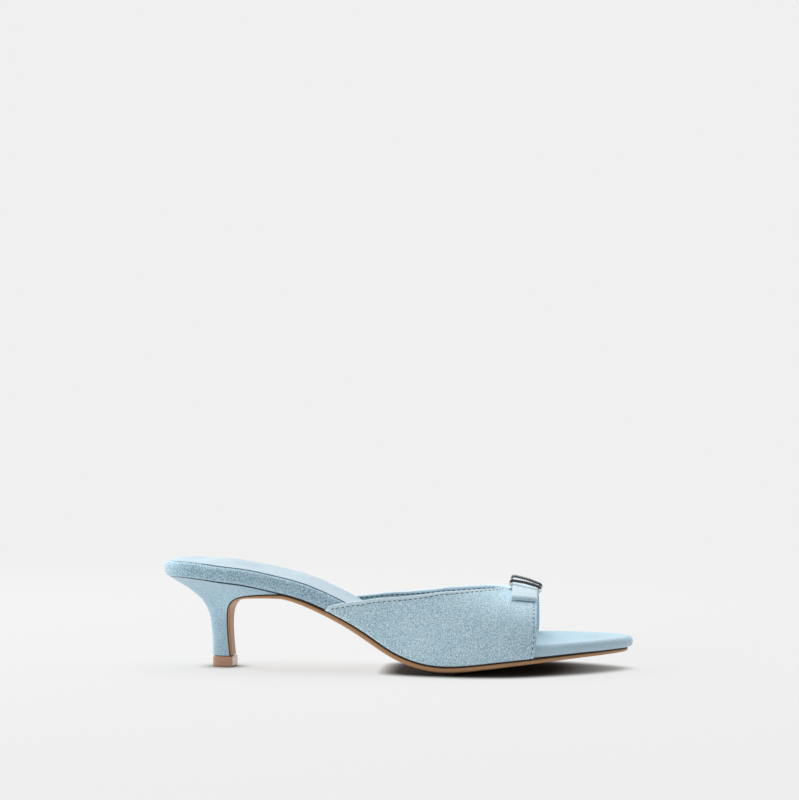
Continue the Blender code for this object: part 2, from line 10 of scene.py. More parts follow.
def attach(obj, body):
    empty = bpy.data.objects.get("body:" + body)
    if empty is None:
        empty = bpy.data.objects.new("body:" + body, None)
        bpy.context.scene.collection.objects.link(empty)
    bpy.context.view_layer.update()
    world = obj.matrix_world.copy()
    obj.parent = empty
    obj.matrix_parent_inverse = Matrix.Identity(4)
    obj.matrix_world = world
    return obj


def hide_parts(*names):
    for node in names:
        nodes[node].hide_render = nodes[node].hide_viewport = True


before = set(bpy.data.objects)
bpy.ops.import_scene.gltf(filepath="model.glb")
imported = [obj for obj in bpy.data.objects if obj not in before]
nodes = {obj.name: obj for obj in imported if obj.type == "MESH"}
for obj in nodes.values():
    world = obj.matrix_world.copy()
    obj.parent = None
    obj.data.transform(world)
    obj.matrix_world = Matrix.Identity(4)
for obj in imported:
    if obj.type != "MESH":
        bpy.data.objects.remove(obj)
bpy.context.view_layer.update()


# Footbed. Insole board with a thin layer of foam, cut to the outline of the foot and wrapped in
# pale blue microsuede that is drawn over the edge and glued under it. A shallow recess in its top
# takes the sock, so the wrap shows as a rim round the sock and as the whole top of the toe.
MM = 0.001
LENGTH = 243.4 * MM
HEEL_BACK = -30.8 * MM
SEAT_HEIGHT = 47.8 * MM
BALL_WIDTH = 76.0 * MM
GAP = 0.3 * MM
FOOTBED_THICK = 7.6 * MM
SOLE_THICK = 3.1 * MM
RECESS = 0.8 * MM
RECESS_LEAN = 0.004
BELLY_FLATNESS = 3.0
SLOPE_STEP = 0.004
STATIONS = 130
CLOSED = 0.01 * MM
MERGE = 0.004 * MM
SLIVER = 0.001 * MM

Plan = namedtuple("Plan", "along lateral medial")
PLAN = [Plan(*row) for row in (
    (0.000, 0.000, 0.000), (0.012, 0.132, 0.132), (0.030, 0.203, 0.203),
    (0.060, 0.266, 0.266), (0.100, 0.311, 0.311), (0.150, 0.335, 0.334),
    (0.200, 0.342, 0.336), (0.280, 0.340, 0.313), (0.360, 0.336, 0.276),
    (0.440, 0.352, 0.258), (0.520, 0.402, 0.291), (0.600, 0.458, 0.372),
    (0.660, 0.486, 0.437), (0.700, 0.491, 0.474), (0.740, 0.483, 0.495),
    (0.780, 0.458, 0.498), (0.820, 0.415, 0.483), (0.860, 0.357, 0.449),
    (0.900, 0.281, 0.397), (0.940, 0.180, 0.322), (0.970, 0.080, 0.248),
    (0.990, -0.004, 0.192), (0.996, -0.046, 0.156), (1.000, -0.105, 0.105),
)]

Seat = namedtuple("Seat", "along height belly footbed sole beyond recess")
SEAT = [Seat(*row) for row in (
    (0.000, 0.990, 0.00, 0.99, 0.80, -0.65, 1.0),
    (0.045, 1.000, 0.00, 0.99, 0.80, -0.65, 1.0),
    (0.090, 0.986, 0.00, 0.98, 0.80, -0.65, 1.0),
    (0.135, 0.960, 0.00, 0.98, 0.80, -0.65, 1.0),
    (0.180, 0.934, 0.00, 0.99, 0.78, -0.65, 1.0),
    (0.240, 0.870, 0.00, 1.00, 0.74, -0.58, 1.0),
    (0.300, 0.793, 0.06, 0.98, 0.84, -0.48, 1.0),
    (0.360, 0.665, 0.19, 0.97, 0.93, -0.26, 1.0),
    (0.410, 0.535, 0.26, 0.96, 0.98, 0.06, 1.0),
    (0.450, 0.410, 0.32, 0.95, 1.00, 0.26, 1.0),
    (0.490, 0.278, 0.23, 0.95, 0.96, 0.32, 1.0),
    (0.520, 0.200, 0.35, 0.94, 0.95, 0.32, 1.0),
    (0.560, 0.136, 0.71, 0.94, 0.98, 0.32, 1.0),
    (0.600, 0.110, 0.81, 0.94, 1.00, 0.32, 1.0),
    (0.640, 0.115, 0.81, 0.93, 0.97, 0.32, 1.0),
    (0.700, 0.148, 0.71, 0.92, 0.92, 0.29, 1.0),
    (0.740, 0.171, 0.58, 0.92, 0.90, 0.26, 0.0),
    (0.810, 0.203, 0.45, 0.86, 0.84, -0.06, 0.0),
    (0.890, 0.232, 0.29, 0.75, 0.78, -0.45, 0.0),
    (0.970, 0.241, 0.10, 0.73, 0.70, -0.71, 0.0),
    (1.000, 0.240, 0.00, 0.73, 0.66, -0.84, 0.0),
)]

Edge = namedtuple("Edge", "out up")
FOOTBED_EDGE = [Edge(*row) for row in (
    (-0.26, 0.00), (-0.10, 0.08), (-0.03, 0.28), (0.00, 0.55),
    (-0.04, 0.76), (-0.15, 0.93), (-0.29, 1.00), (-0.37, 1.00),
)]


def read(rows, column, along):
    """Value of a table's column at a station, as a smooth curve through its rows."""
    keys = [row[0] for row in rows]
    values = [getattr(row, column) for row in rows]
    along = min(max(along, keys[0]), keys[-1])
    last = len(keys) - 1
    i = 0
    while i < last - 1 and along > keys[i + 1]:
        i += 1

    def steepness(k):
        low = max(k - 1, 0)
        high = min(k + 1, last)
        return (values[high] - values[low]) / (keys[high] - keys[low])

    span = keys[i + 1] - keys[i]
    t = (along - keys[i]) / span
    t2 = t * t
    t3 = t2 * t
    return (
        values[i] * (2 * t3 - 3 * t2 + 1)
        + steepness(i) * span * (t3 - 2 * t2 + t)
        + values[i + 1] * (3 * t2 - 2 * t3)
        + steepness(i + 1) * span * (t3 - t2)
    )


def turned(along):
    return math.acos(1.0 - 2.0 * min(max(along, 0.0), 1.0))


PLAN_TURNED = [Plan(turned(row.along), row.lateral, row.medial) for row in PLAN]


def lateral(along):
    return read(PLAN_TURNED, "lateral", turned(along)) * BALL_WIDTH


def medial(along):
    return read(PLAN_TURNED, "medial", turned(along)) * BALL_WIDTH


def x_at(along):
    return HEEL_BACK + along * LENGTH


def seat_z(along):
    return read(SEAT, "height", along) * SEAT_HEIGHT


def seat_slope(along):
    low = max(along - SLOPE_STEP, 0.0)
    high = min(along + SLOPE_STEP, 1.0)
    return math.atan2(seat_z(high) - seat_z(low), (high - low) * LENGTH)


def footbed_thick(along):
    return read(SEAT, "footbed", along) * FOOTBED_THICK


def round_ended(count):
    """Stations from the toe to the heel, closer together towards the two round ends."""
    return [0.5 + 0.5 * math.cos(math.pi * k / count) for k in range(count + 1)]


def eased(profile, between=3):
    """An edge profile with more points, on a smooth curve through its own."""
    ends = [profile[0]] + list(profile) + [profile[-1]]
    found = []
    for i in range(1, len(ends) - 2):
        for k in range(between):
            t = k / between
            found.append(Edge(*(
                0.5 * (2 * b + (c - a) * t + (2 * a - 5 * b + 4 * c - d) * t * t
                       + (3 * b - a - 3 * c + d) * t ** 3)
                for a, b, c, d in zip(ends[i - 1], ends[i], ends[i + 1], ends[i + 2])
            )))
    return found + [profile[-1]]


Station = namedtuple("Station", "along lateral medial up thick belly")


def seat_station(along, lift=0.0, thick=0.0):
    slope = seat_slope(along)
    up = Vector((-math.sin(slope), 0.0, math.cos(slope)))
    z = seat_z(along)
    return Station(
        along,
        Vector((x_at(along), -lateral(along), z)) + up * lift,
        Vector((x_at(along), medial(along), z)) + up * lift,
        up,
        thick,
        read(SEAT, "belly", along) * SOLE_THICK,
    )


def outward(stations, side):
    """Directions out of the outline, square to its edge and to the sheet's normal."""
    ends = [getattr(s, side) for s in stations]
    sign = 1.0 if side == "lateral" else -1.0
    found = []
    for i, here in enumerate(stations):
        closed = (here.lateral - here.medial).length < CLOSED
        if closed and i == 0:
            along_edge = (stations[1].lateral - stations[1].medial) * sign
        elif closed:
            along_edge = (stations[i - 1].medial - stations[i - 1].lateral) * sign
        else:
            along_edge = ends[min(i + 1, len(ends) - 1)] - ends[max(i - 1, 0)]
        found.append((here.up.cross(along_edge) * sign).normalized())
    return found


def sheet(stations, edge, depth, across, beyond=None, top=None, floor=False):
    """Rings of a sheet with a shaped edge: underside, one edge, upper side, other edge.

    top(station, q) gives how far the upper side stands above the edge, with q from -1 to 1.
    """
    out_lateral = outward(stations, "lateral")
    out_medial = outward(stations, "medial")
    rings = []
    for i, s in enumerate(stations):
        extra = beyond[i] if beyond else 0.0
        left, right = (
            [end + out[i] * (e.out * depth + extra) + s.up * (e.up * s.thick) for e in edge]
            for end, out in ((s.lateral, out_lateral), (s.medial, out_medial))
        )
        under = []
        over = []
        for c in range(across + 1):
            q = 2.0 * c / across - 1.0
            sag = s.up * (s.belly * (1.0 - abs(q) ** BELLY_FLATNESS))
            if 0 < c < across:
                under.append(left[0].lerp(right[0], c / across) - sag)
            raised = s.up * top(s, q) if top else Vector()
            share = min(max(c / across, RECESS_LEAN), 1.0 - RECESS_LEAN)
            over.append(left[-1].lerp(right[-1], share) - sag + raised)
        ring = under + right + list(reversed(over)) + list(reversed(left))
        if floor:
            ring = [Vector((p.x, p.y, max(p.z, 0.0))) for p in ring]
        rings.append(ring)
    return rings


def skin(rings, start=False, end=False):
    """Points and faces over rings of equal count, closed across at either end on request."""
    count = len(rings[0])
    points = [p for ring in rings for p in ring]
    faces = []
    for r in range(len(rings) - 1):
        for c in range(count):
            d = (c + 1) % count
            faces.append((r * count + c, r * count + d, (r + 1) * count + d, (r + 1) * count + c))
    for wanted, base in ((start, 0), (end, (len(rings) - 1) * count)):
        for c in range(count // 2 - 1 if wanted else 0):
            faces.append((base + c, base + c + 1, base + count - 2 - c, base + count - 1 - c))
    return points, faces


def in_scene(name, data):
    made = bpy.data.objects.new(name, data)
    bpy.context.scene.collection.objects.link(made)
    return made


def piece(name, points, faces, finishes, marks=None):
    """A smooth-shaded mesh object at the origin; marks gives each face its finish."""
    mesh = bpy.data.meshes.new(name)
    mesh.from_pydata([tuple(p) for p in points], [], faces)
    if marks:
        mesh.polygons.foreach_set("material_index", marks)
    body = bmesh.new()
    body.from_mesh(mesh)
    bmesh.ops.remove_doubles(body, verts=body.verts, dist=MERGE)
    bmesh.ops.dissolve_degenerate(body, edges=body.edges, dist=SLIVER)
    bmesh.ops.recalc_face_normals(body, faces=body.faces)
    for face in body.faces:
        face.smooth = True
    body.to_mesh(mesh)
    body.free()
    for finish in finishes:
        mesh.materials.append(finish)
    return in_scene(name, mesh)


def linear(code):
    """Linear RGBA of an sRGB hex colour."""
    found = []
    for k in (1, 3, 5):
        value = int(code[k:k + 2], 16) / 255.0
        found.append(value / 12.92 if value <= 0.04045 else ((value + 0.055) / 1.055) ** 2.4)
    return (*found, 1.0)


def add_node(tree, kind, output=None, inputs=None, **settings):
    """Adds a node with its settings and gives the output that is named, or else the node.

    A socket among its inputs is linked, and any other value is set.
    """
    made = tree.nodes.new(kind)
    for name, value in settings.items():
        setattr(made, name, value)
    for socket, value in (inputs or {}).items():
        if isinstance(value, bpy.types.NodeSocket):
            tree.links.new(value, made.inputs[socket])
        else:
            made.inputs[socket].default_value = value
    return made.outputs[output] if output else made


def new_material(name):
    """An empty material, its node tree and the place on the piece in metres."""
    made = bpy.data.materials.new(name)
    made.use_nodes = True
    made.node_tree.nodes.clear()
    return made, made.node_tree, add_node(made.node_tree, "ShaderNodeTexCoord", "Object")


SPECKLE = 0.1
TUFT = 0.55 * MM
PATCH = 16.0 * MM
PATCH_SHARE = 0.1


def microsuede(name, pale, deep, crisp=1.0):
    """Microsuede: brushed polyester with a short nap. The eye sees a crisp speckle where tufts of the
    nap lean this way or that, wider soft patches where a hand has passed, and a pale bloom at grazing
    angles. Tufts are about 0.3 mm; they are drawn at 0.55 mm, the finest that the render shows. Where
    it is stretched smooth (crisp below 1), the speckle is fainter."""
    made, tree, place = new_material(name)
    grain = {"Vector": place, "Scale": 1.0 / TUFT, "Detail": 1.0}
    tufts = add_node(tree, "ShaderNodeTexNoise", "Fac", grain)
    patches = add_node(tree, "ShaderNodeTexNoise", "Fac", {"Vector": place, "Scale": 1.0 / PATCH})
    mixing = {"Factor": PATCH_SHARE, "A": tufts, "B": patches}
    lean = add_node(tree, "ShaderNodeMix", "Result", mixing)
    limits = {"From Min": 0.5 - SPECKLE / crisp, "From Max": 0.5 + SPECKLE / crisp}
    tone = add_node(tree, "ShaderNodeMapRange", "Result", {"Value": lean, **limits})
    tones = {"Factor": tone, "A": linear(deep), "B": linear(pale)}
    nap = {"Height": tufts, "Strength": 0.8 * crisp, "Distance": 0.25 * MM}
    shader = add_node(tree, "ShaderNodeBsdfPrincipled", "BSDF", {
        "Base Color": add_node(tree, "ShaderNodeMix", "Result", tones, data_type="RGBA"),
        "Roughness": 0.92,
        "Specular IOR Level": 0.15,
        "Sheen Weight": 0.3,
        "Sheen Roughness": 0.5,
        "Normal": add_node(tree, "ShaderNodeBump", "Normal", nap),
    })
    add_node(tree, "ShaderNodeOutputMaterial", inputs={"Surface": shader})
    return made


suede = microsuede("pale_blue_microsuede", "#C8E4F1", "#7DA3B6")
smooth_suede = microsuede("stretched_microsuede", "#D2EBF6", "#A3C5D6", crisp=0.35)
# Paler copy of the suede for rounded edges and folds that catch the top light: a painted highlight.
highlight_suede = microsuede("painted_highlight_suede", "#E4F5FD", "#C2DEEB", crisp=0.6)


def recess_top(station, q):
    """The recess that takes the sock; it ends in front of the sock, under the band."""
    return -RECESS * read(SEAT, "recess", station.along)


def on_edge(faces, across, edge_points, first, last):
    """For each face of a sheet, whether it lies on part of its edges, counted up from the underside."""
    ring_size = 2 * across + 2 * edge_points
    found = set()
    for e in range(first, last):
        found.add(across - 1 + e)
        found.add(ring_size - 2 - e)
    return [k % ring_size in found for k in range(len(faces))]


FOOTBED_ACROSS = 24
RIM_HIGHLIGHT_FROM = 18
TOE_FROM = 150.0 * MM

footbed_stations = [seat_station(a, thick=footbed_thick(a)) for a in round_ended(STATIONS)]
edge = eased(FOOTBED_EDGE)
points, faces = skin(sheet(footbed_stations, edge, FOOTBED_THICK, FOOTBED_ACROSS, top=recess_top))
# The rounded top of the wrap's rim is given the paler suede: a painted highlight where the top light
# catches the edge.
rim_highlight = on_edge(faces, FOOTBED_ACROSS, len(edge), RIM_HIGHLIGHT_FROM, len(edge) - 1)
marks = []
for face, on_rim_highlight in zip(faces, rim_highlight):
    if points[face[0]].x > TOE_FROM:
        marks.append(1)
    else:
        marks.append(2 if on_rim_highlight else 0)
footbed = piece("footbed_wrap", points, faces, [suede, smooth_suede, highlight_suede], marks)
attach(footbed, "root")
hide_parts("footbed")


# Sock. A three-quarter length of smooth lining, backed with a thin foam heel pad that raises it a
# little under the heel, and glued into the recess. Its front end lies under the band.
SOCK_THICK = 1.15 * MM
SOCK_MARGIN = 3.3 * MM
SOCK_END = 0.705
SOCK_CORNER = 0.045
SOCK_CORNER_ROUNDNESS = 3.0
SOCK_CORNER_STEPS = 12
SOCK_CORNER_END = 0.98
SHADED_CUT_FACES = (1, 3)
PAD_HIGH = 2.5 * MM
PAD_CENTRE = 0.138
PAD_HALF = 0.078
SOCK_EDGE = [Edge(*row) for row in (
    (-1.03, 0.00), (-0.98, 0.20), (-0.98, 0.78),
    (-0.99, 0.90), (-1.03, 0.98), (-1.12, 1.00),
)]
SOCK_ACROSS = 24
SOCK_SHADE_FROM = -8.0 * MM

# Coated microfibre lining: smooth and a little satin, with faint clouding. Its pores are drawn 0.8 mm
# apart, which is coarser than real, so that they show.
lining, tree, place = new_material("smooth_pale_lining")
cells = {"Vector": place, "Scale": 1.0 / (0.8 * MM)}
pores = add_node(tree, "ShaderNodeTexVoronoi", "Distance", cells)
cloud = {"Vector": place, "Scale": 1.0 / (11.0 * MM), "Detail": 3.0}
clouding = add_node(tree, "ShaderNodeTexNoise", "Fac", cloud)
tones = {"Factor": clouding, "A": linear("#AFC5D0"), "B": linear("#C0D2DB")}
pitted = {"Height": pores, "Strength": 0.25, "Distance": 0.05 * MM}
shader = add_node(tree, "ShaderNodeBsdfPrincipled", "BSDF", {
    "Base Color": add_node(tree, "ShaderNodeMix", "Result", tones, data_type="RGBA"),
    "Roughness": 0.58,
    "Specular IOR Level": 0.35,
    "Normal": add_node(tree, "ShaderNodeBump", "Normal", pitted),
})
add_node(tree, "ShaderNodeOutputMaterial", inputs={"Surface": shader})


def two_toned(name, kind, output, pattern, low, high, roughness):
    """A plain material whose colour runs between two sRGB tones with a pattern."""
    made, tree, place = new_material(name)
    share = add_node(tree, kind, output, {"Vector": place, **pattern})
    tones = {"Factor": share, "A": linear(low), "B": linear(high)}
    shader = add_node(tree, "ShaderNodeBsdfPrincipled", "BSDF", {
        "Base Color": add_node(tree, "ShaderNodeMix", "Result", tones, data_type="RGBA"),
        "Roughness": roughness,
    })
    add_node(tree, "ShaderNodeOutputMaterial", inputs={"Surface": shader})
    return made


# Cut edge of lining and foam: dull slate blue with open cells about 0.5 mm wide, darkened as painted
# shade for the shadow line along the sock's raised edge.
sock_side_shade = two_toned(
    "sock_side_painted_shade", "ShaderNodeTexVoronoi", "Distance", {"Scale": 1.0 / (0.5 * MM)},
    low="#52707F", high="#86A1B1", roughness=0.9,
)


def sock_top(station, q):
    away = (station.along - PAD_CENTRE) / PAD_HALF
    return PAD_HIGH * max(0.0, 1.0 - away * away) ** 2 * (1.0 - q * q) ** 2


sock_alongs = [
    SOCK_END - SOCK_CORNER * (1.0 - math.cos(math.pi / 2.0 * k / SOCK_CORNER_STEPS))
    for k in range(SOCK_CORNER_STEPS + 1)
]
sock_alongs += [a for a in round_ended(STATIONS) if a < SOCK_END - SOCK_CORNER]
sock_stations = []
for along in sock_alongs:
    lift = footbed_thick(along) + GAP - read(SEAT, "recess", along) * RECESS
    station = seat_station(along, lift=lift, thick=SOCK_THICK)
    into = min(max(0.0, (along - (SOCK_END - SOCK_CORNER)) / SOCK_CORNER), SOCK_CORNER_END)
    narrow = (1.0 - into ** SOCK_CORNER_ROUNDNESS) ** (1.0 / SOCK_CORNER_ROUNDNESS)
    middle = (station.lateral + station.medial) * 0.5
    sock_stations.append(station._replace(
        lateral=middle.lerp(station.lateral, narrow),
        medial=middle.lerp(station.medial, narrow),
    ))
points, faces = skin(
    sheet(sock_stations, SOCK_EDGE, SOCK_MARGIN, SOCK_ACROSS, top=sock_top), start=True,
)
# The sock's side wall, from a little in front of the heel's back, is painted dark as the shade along its
# edge.
shaded_cut_faces = on_edge(faces, SOCK_ACROSS, len(SOCK_EDGE), *SHADED_CUT_FACES)
marks = [
    1 if in_cut_shade and points[face[0]].x > SOCK_SHADE_FROM else 0
    for face, in_cut_shade in zip(faces, shaded_cut_faces)
]
sock = piece("sock_lining", points, faces, [lining, sock_side_shade], marks)
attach(sock, "root")
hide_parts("sock")


# Heel. A moulded plastic heel, slim and slightly curved, with a wedge that carries the seat as far
# as the waist. It is covered in the same microsuede, stretched smooth and joined under the flap.
HEEL_TURN = math.radians(7.0)
TOP_PIECE_HIGH = 5.6 * MM
TOP_PIECE_LONG = 11.8 * MM
STEM_LONG = 9.9 * MM
STEM_WIDE = 9.2 * MM
STEM_SET_BACK = 0.3 * MM
WEDGE_END = 0.254
HEEL_INSET = 2.2 * MM
SEAM_OPEN = 0.5 * MM
SEAM_FROM = 0.03
SEAM_BY = 0.14
FLAP_THICK = 1.3 * MM
D_ROUNDNESS = 2.4

Flare = namedtuple("Flare", "row drop back side front")
FLARE = [Flare(*row) for row in (
    (0.00, 0.000, 0.000, 0.000, 0.000),
    (0.06, 0.012, 0.026, 0.060, 0.300),
    (0.13, 0.030, 0.068, 0.160, 0.520),
    (0.20, 0.055, 0.134, 0.310, 0.690),
    (0.28, 0.095, 0.258, 0.470, 0.830),
    (0.36, 0.150, 0.418, 0.640, 0.930),
    (0.44, 0.225, 0.603, 0.775, 1.000),
    (0.52, 0.310, 0.762, 0.875, 1.033),
    (0.61, 0.420, 0.880, 0.940, 1.045),
    (0.71, 0.550, 0.950, 0.975, 1.045),
    (0.84, 0.760, 0.990, 0.995, 1.030),
    (1.00, 1.000, 1.000, 1.000, 1.000),
)]


def lerp(a, b, share):
    return a + (b - a) * share


def d_point(share, long, wide, front, side):
    """A point on a D-shaped plan from its back (share 0) to its front corner (share 1), turned."""
    turn = math.cos(share * math.pi / 2.0)
    forward = front - long * turn
    aside = side * 0.5 * wide * max(1.0 - turn ** D_ROUNDNESS, 0.0) ** (1.0 / D_ROUNDNESS)
    x = forward * math.cos(HEEL_TURN) + aside * math.sin(HEEL_TURN)
    y = -forward * math.sin(HEEL_TURN) + aside * math.cos(HEEL_TURN)
    return x, y


def seat_point(share, side):
    """A point on the heel's seat: the footbed's outline set in, from the back to the wedge's corner."""
    along = WEDGE_END * (1.0 - math.cos(share * math.pi / 2.0))
    half = medial if side > 0 else lateral
    low = max(along - SLOPE_STEP, 0.0)
    high = along + SLOPE_STEP
    run = (high - low) * LENGTH
    rise = half(high) - half(low)
    size = math.hypot(run, rise)
    x = x_at(along) + HEEL_INSET * rise / size
    y = max(half(along) - HEEL_INSET * run / size, 0.0)
    if share == 0.0:
        x = HEEL_BACK + HEEL_INSET
        y = 0.0
    return x, side * y


top_piece_front = TOP_PIECE_LONG / 2.0
stem_front = top_piece_front - FLAP_THICK - GAP - STEM_SET_BACK


def heel_point(share, side, row):
    seat_x, seat_y = seat_point(share, side)
    stem_x, stem_y = d_point(share, STEM_LONG, STEM_WIDE, stem_front, side)
    forward = math.sin(share * math.pi / 2.0) ** 2
    way_x = lerp(read(FLARE, "back", row), read(FLARE, "front", row), forward)
    way_y = read(FLARE, "side", row)
    along = (seat_x - HEEL_BACK) / LENGTH
    opened = min(max((along - SEAM_FROM) / (SEAM_BY - SEAM_FROM), 0.0), 1.0)
    top = seat_z(along) - GAP - SEAM_OPEN * opened
    return Vector((
        lerp(seat_x, stem_x, way_x),
        lerp(seat_y, stem_y, way_y),
        lerp(top, TOP_PIECE_HIGH + GAP, read(FLARE, "drop", row)),
    ))


SHARP = math.radians(50.0)
ROUND_SEGMENTS = 3


def turn_edges(made, wide):
    """Rounds a piece's sharp edges, as cloth drawn over them does."""
    rounding = made.modifiers.new("turned_edges", "BEVEL")
    rounding.width = wide
    rounding.segments = ROUND_SEGMENTS
    rounding.limit_method = "ANGLE"
    rounding.angle_limit = SHARP


HEEL_ROUND = 0.5 * MM
HEEL_ROWS = 72
HEEL_COLUMNS = 36
HEEL_FRONT_COLUMNS = 8
rings = []
for r in range(HEEL_ROWS + 1):
    row = r / HEEL_ROWS
    left = [heel_point(c / HEEL_COLUMNS, -1.0, row) for c in range(HEEL_COLUMNS + 1)]
    right = [heel_point(c / HEEL_COLUMNS, 1.0, row) for c in range(HEEL_COLUMNS + 1)]
    front = [left[-1].lerp(right[-1], c / HEEL_FRONT_COLUMNS) for c in range(1, HEEL_FRONT_COLUMNS)]
    rings.append(left + front + list(reversed(right)))
points, faces = skin(rings)
count = len(rings[0])
for base in (0, HEEL_ROWS * count):
    for c in range(HEEL_COLUMNS):
        faces.append((base + c, base + c + 1, base + count - 2 - c, base + count - 1 - c))
    corner = base + HEEL_COLUMNS
    faces.append(tuple(corner + c for c in range(HEEL_FRONT_COLUMNS + 1)))
heel_suede = microsuede("heel_microsuede", "#C8E2EF", "#8CAEBF", crisp=0.5)
heel = piece("heel_cover", points, faces, [heel_suede])
turn_edges(heel, HEEL_ROUND)
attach(heel, "root")
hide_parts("heel")


# Top piece. The moulded rubber lift that the heel stands on, tan and glossy, nailed to the stem.
# Its solid has the right shape, so it stays and only gets its finish.
# Polyurethane, moulded: even tan with a slight streak, glossy, with duller scuffs.
lift_rubber, tree, place = new_material("glossy_tan_lift")
flow = {"Vector": place, "Scale": 1.0 / (2.5 * MM), "Detail": 3.0, "Distortion": 0.4}
streaks = add_node(tree, "ShaderNodeTexNoise", "Fac", flow)
tones = {"Factor": streaks, "A": linear("#AC7C5E"), "B": linear("#B98A6C")}
scuffs = {"Value": streaks, "To Min": 0.18, "To Max": 0.34}
shader = add_node(tree, "ShaderNodeBsdfPrincipled", "BSDF", {
    "Base Color": add_node(tree, "ShaderNodeMix", "Result", tones, data_type="RGBA"),
    "Roughness": add_node(tree, "ShaderNodeMapRange", "Result", scuffs),
    "Specular IOR Level": 0.5,
    "Coat Weight": 1.0,
    "Coat Roughness": 0.08,
})
add_node(tree, "ShaderNodeOutputMaterial", inputs={"Surface": shader})
nodes["top_piece"].material_slots[0].material = lift_rubber


# Outsole. A thin tan sole of pressed leatherboard, cemented under the wrapped footbed. It runs from
# the toe through the arch and on as a flap down the front of the heel; its edge is trimmed, and its top
# is painted dark as shade.
FLAP_INSET = 0.25 * MM
FLAP_THINS_BY = 0.2
FLAP_THINNING = 0.7
SOLE_ACROSS = 24
SOLE_EDGE = [Edge(*row) for row in (
    (-0.48, -1.00), (-0.30, -0.97), (-0.14, -0.86),
    (-0.04, -0.72), (0.00, -0.55), (0.00, -0.26),
    (-0.03, -0.21), (-0.13, -0.19), (-0.15, 0.00),
)]
SEAM_SHADE_ROWS = 3
SOLE_STATIONS = 170
SOLE_BEND_PASSES = 8
SOLE_BEND_REACH = 12

# Leatherboard, rolled and waxed: warm tan, short fibres about 1 mm long, satin edge.
sole_board, tree, place = new_material("tan_leatherboard")
grain = {"Vector": place, "Scale": 1.0 / (1.2 * MM), "Detail": 4.0, "Roughness": 0.6}
fibres = add_node(tree, "ShaderNodeTexNoise", "Fac", grain)
cloud = {"Vector": place, "Scale": 1.0 / (20.0 * MM)}
patches = add_node(tree, "ShaderNodeTexNoise", "Fac", cloud)
mixing = {"Factor": 0.5, "A": fibres, "B": patches}
mixed = add_node(tree, "ShaderNodeMix", "Result", mixing)
tones = {"Factor": mixed, "A": linear("#A6764F"), "B": linear("#CEA276")}
fuzz = {"Height": fibres, "Strength": 0.3, "Distance": 0.05 * MM}
shader = add_node(tree, "ShaderNodeBsdfPrincipled", "BSDF", {
    "Base Color": add_node(tree, "ShaderNodeMix", "Result", tones, data_type="RGBA"),
    "Roughness": 0.42,
    "Specular IOR Level": 0.4,
    "Normal": add_node(tree, "ShaderNodeBump", "Normal", fuzz),
})
add_node(tree, "ShaderNodeOutputMaterial", inputs={"Surface": shader})

# Painted shade along the top of the sole's edge, for the shadow in the feather seam: dark brown, dull,
# slightly blotchy.
feather_seam_shade = two_toned(
    "feather_seam_shade", "ShaderNodeTexNoise", "Fac", {"Scale": 1.0 / (3.0 * MM), "Detail": 3.0},
    low="#3E3128", high="#665245", roughness=0.7,
)

sole_stations = []
for along in [a for a in round_ended(SOLE_STATIONS) if a > WEDGE_END] + [WEDGE_END]:
    sole_stations.append(seat_station(along, lift=-GAP, thick=read(SEAT, "sole", along) * SOLE_THICK))
sole_beyond = [read(SEAT, "beyond", station.along) * SOLE_THICK for station in sole_stations]
first = sole_stations[-1]._replace(belly=0.0)
sole_stations[-1] = first
flap_rows = [r / HEEL_ROWS for r in range(HEEL_ROWS + 1)]
corners = [(heel_point(1.0, -1.0, row), heel_point(1.0, 1.0, row)) for row in flap_rows]
for i in range(1, len(flap_rows)):
    left, right = corners[i]
    before = (corners[i - 1][0] + corners[i - 1][1]) * 0.5
    after = (corners[min(i + 1, HEEL_ROWS)][0] + corners[min(i + 1, HEEL_ROWS)][1]) * 0.5
    up = (right - left).cross(after - before).normalized()
    thin = lerp(first.thick, FLAP_THICK, min(1.0, flap_rows[i] / FLAP_THINS_BY) ** FLAP_THINNING)
    narrow = (right - left).normalized() * FLAP_INSET
    left = left - up * GAP + narrow
    right = right - up * GAP - narrow
    sole_stations.append(Station(WEDGE_END, left, right, up, thin, 0.0))
    sole_beyond.append(0.0)
wedge_at = sole_stations.index(first)
for _ in range(SOLE_BEND_PASSES):
    stiff = list(sole_stations)
    for i in range(wedge_at - SOLE_BEND_REACH, wedge_at + SOLE_BEND_REACH + 1):
        before, here, after = stiff[i - 1:i + 2]
        sole_stations[i] = here._replace(
            lateral=(before.lateral + here.lateral * 2.0 + after.lateral) / 4.0,
            medial=(before.medial + here.medial * 2.0 + after.medial) / 4.0,
            up=(before.up + here.up * 2.0 + after.up).normalized(),
        )
points, faces = skin(
    sheet(sole_stations, SOLE_EDGE, SOLE_THICK, SOLE_ACROSS, beyond=sole_beyond, floor=True), end=True,
)
top_face = len(SOLE_EDGE) - 1
seam_shade_faces = on_edge(faces, SOLE_ACROSS, len(SOLE_EDGE), top_face - SEAM_SHADE_ROWS, top_face)
marks = [int(in_seam_shade) for in_seam_shade in seam_shade_faces]
outsole = piece("outsole_board", points, faces, [sole_board, feather_seam_shade], marks)
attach(outsole, "root")
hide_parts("outsole")


# Band. The upper: one wide band of microsuede over a stiffener and a pale lining, lasted over the
# forefoot and cemented between footbed and sole. Its topline and front edge are folded in and
# stitched; it is open at the toe and drops in two wings along the waist.
INSTEP_HEIGHT = 50.0 * MM
WALL = 1.7 * MM
RIDGE_SIDE = 3.0 * MM
LAST_ROUNDNESS = 2.4
FEATHER_TUCK = 0.6 * MM
FEATHER_HIGH = 2.4 * MM
THROAT_END = 0.7375
THROAT_CUT = 0.72
THROAT_EASE = 1.6
FRONT_EASE = 1.25

Ridge = namedtuple("Ridge", "along height")
RIDGE = [Ridge(*row) for row in (
    (0.357, 0.998), (0.440, 1.090), (0.505, 1.145), (0.587, 1.034),
    (0.628, 0.932), (0.669, 0.828), (0.710, 0.734), (0.739, 0.676),
    (0.772, 0.631), (0.805, 0.585), (0.830, 0.550),
)]

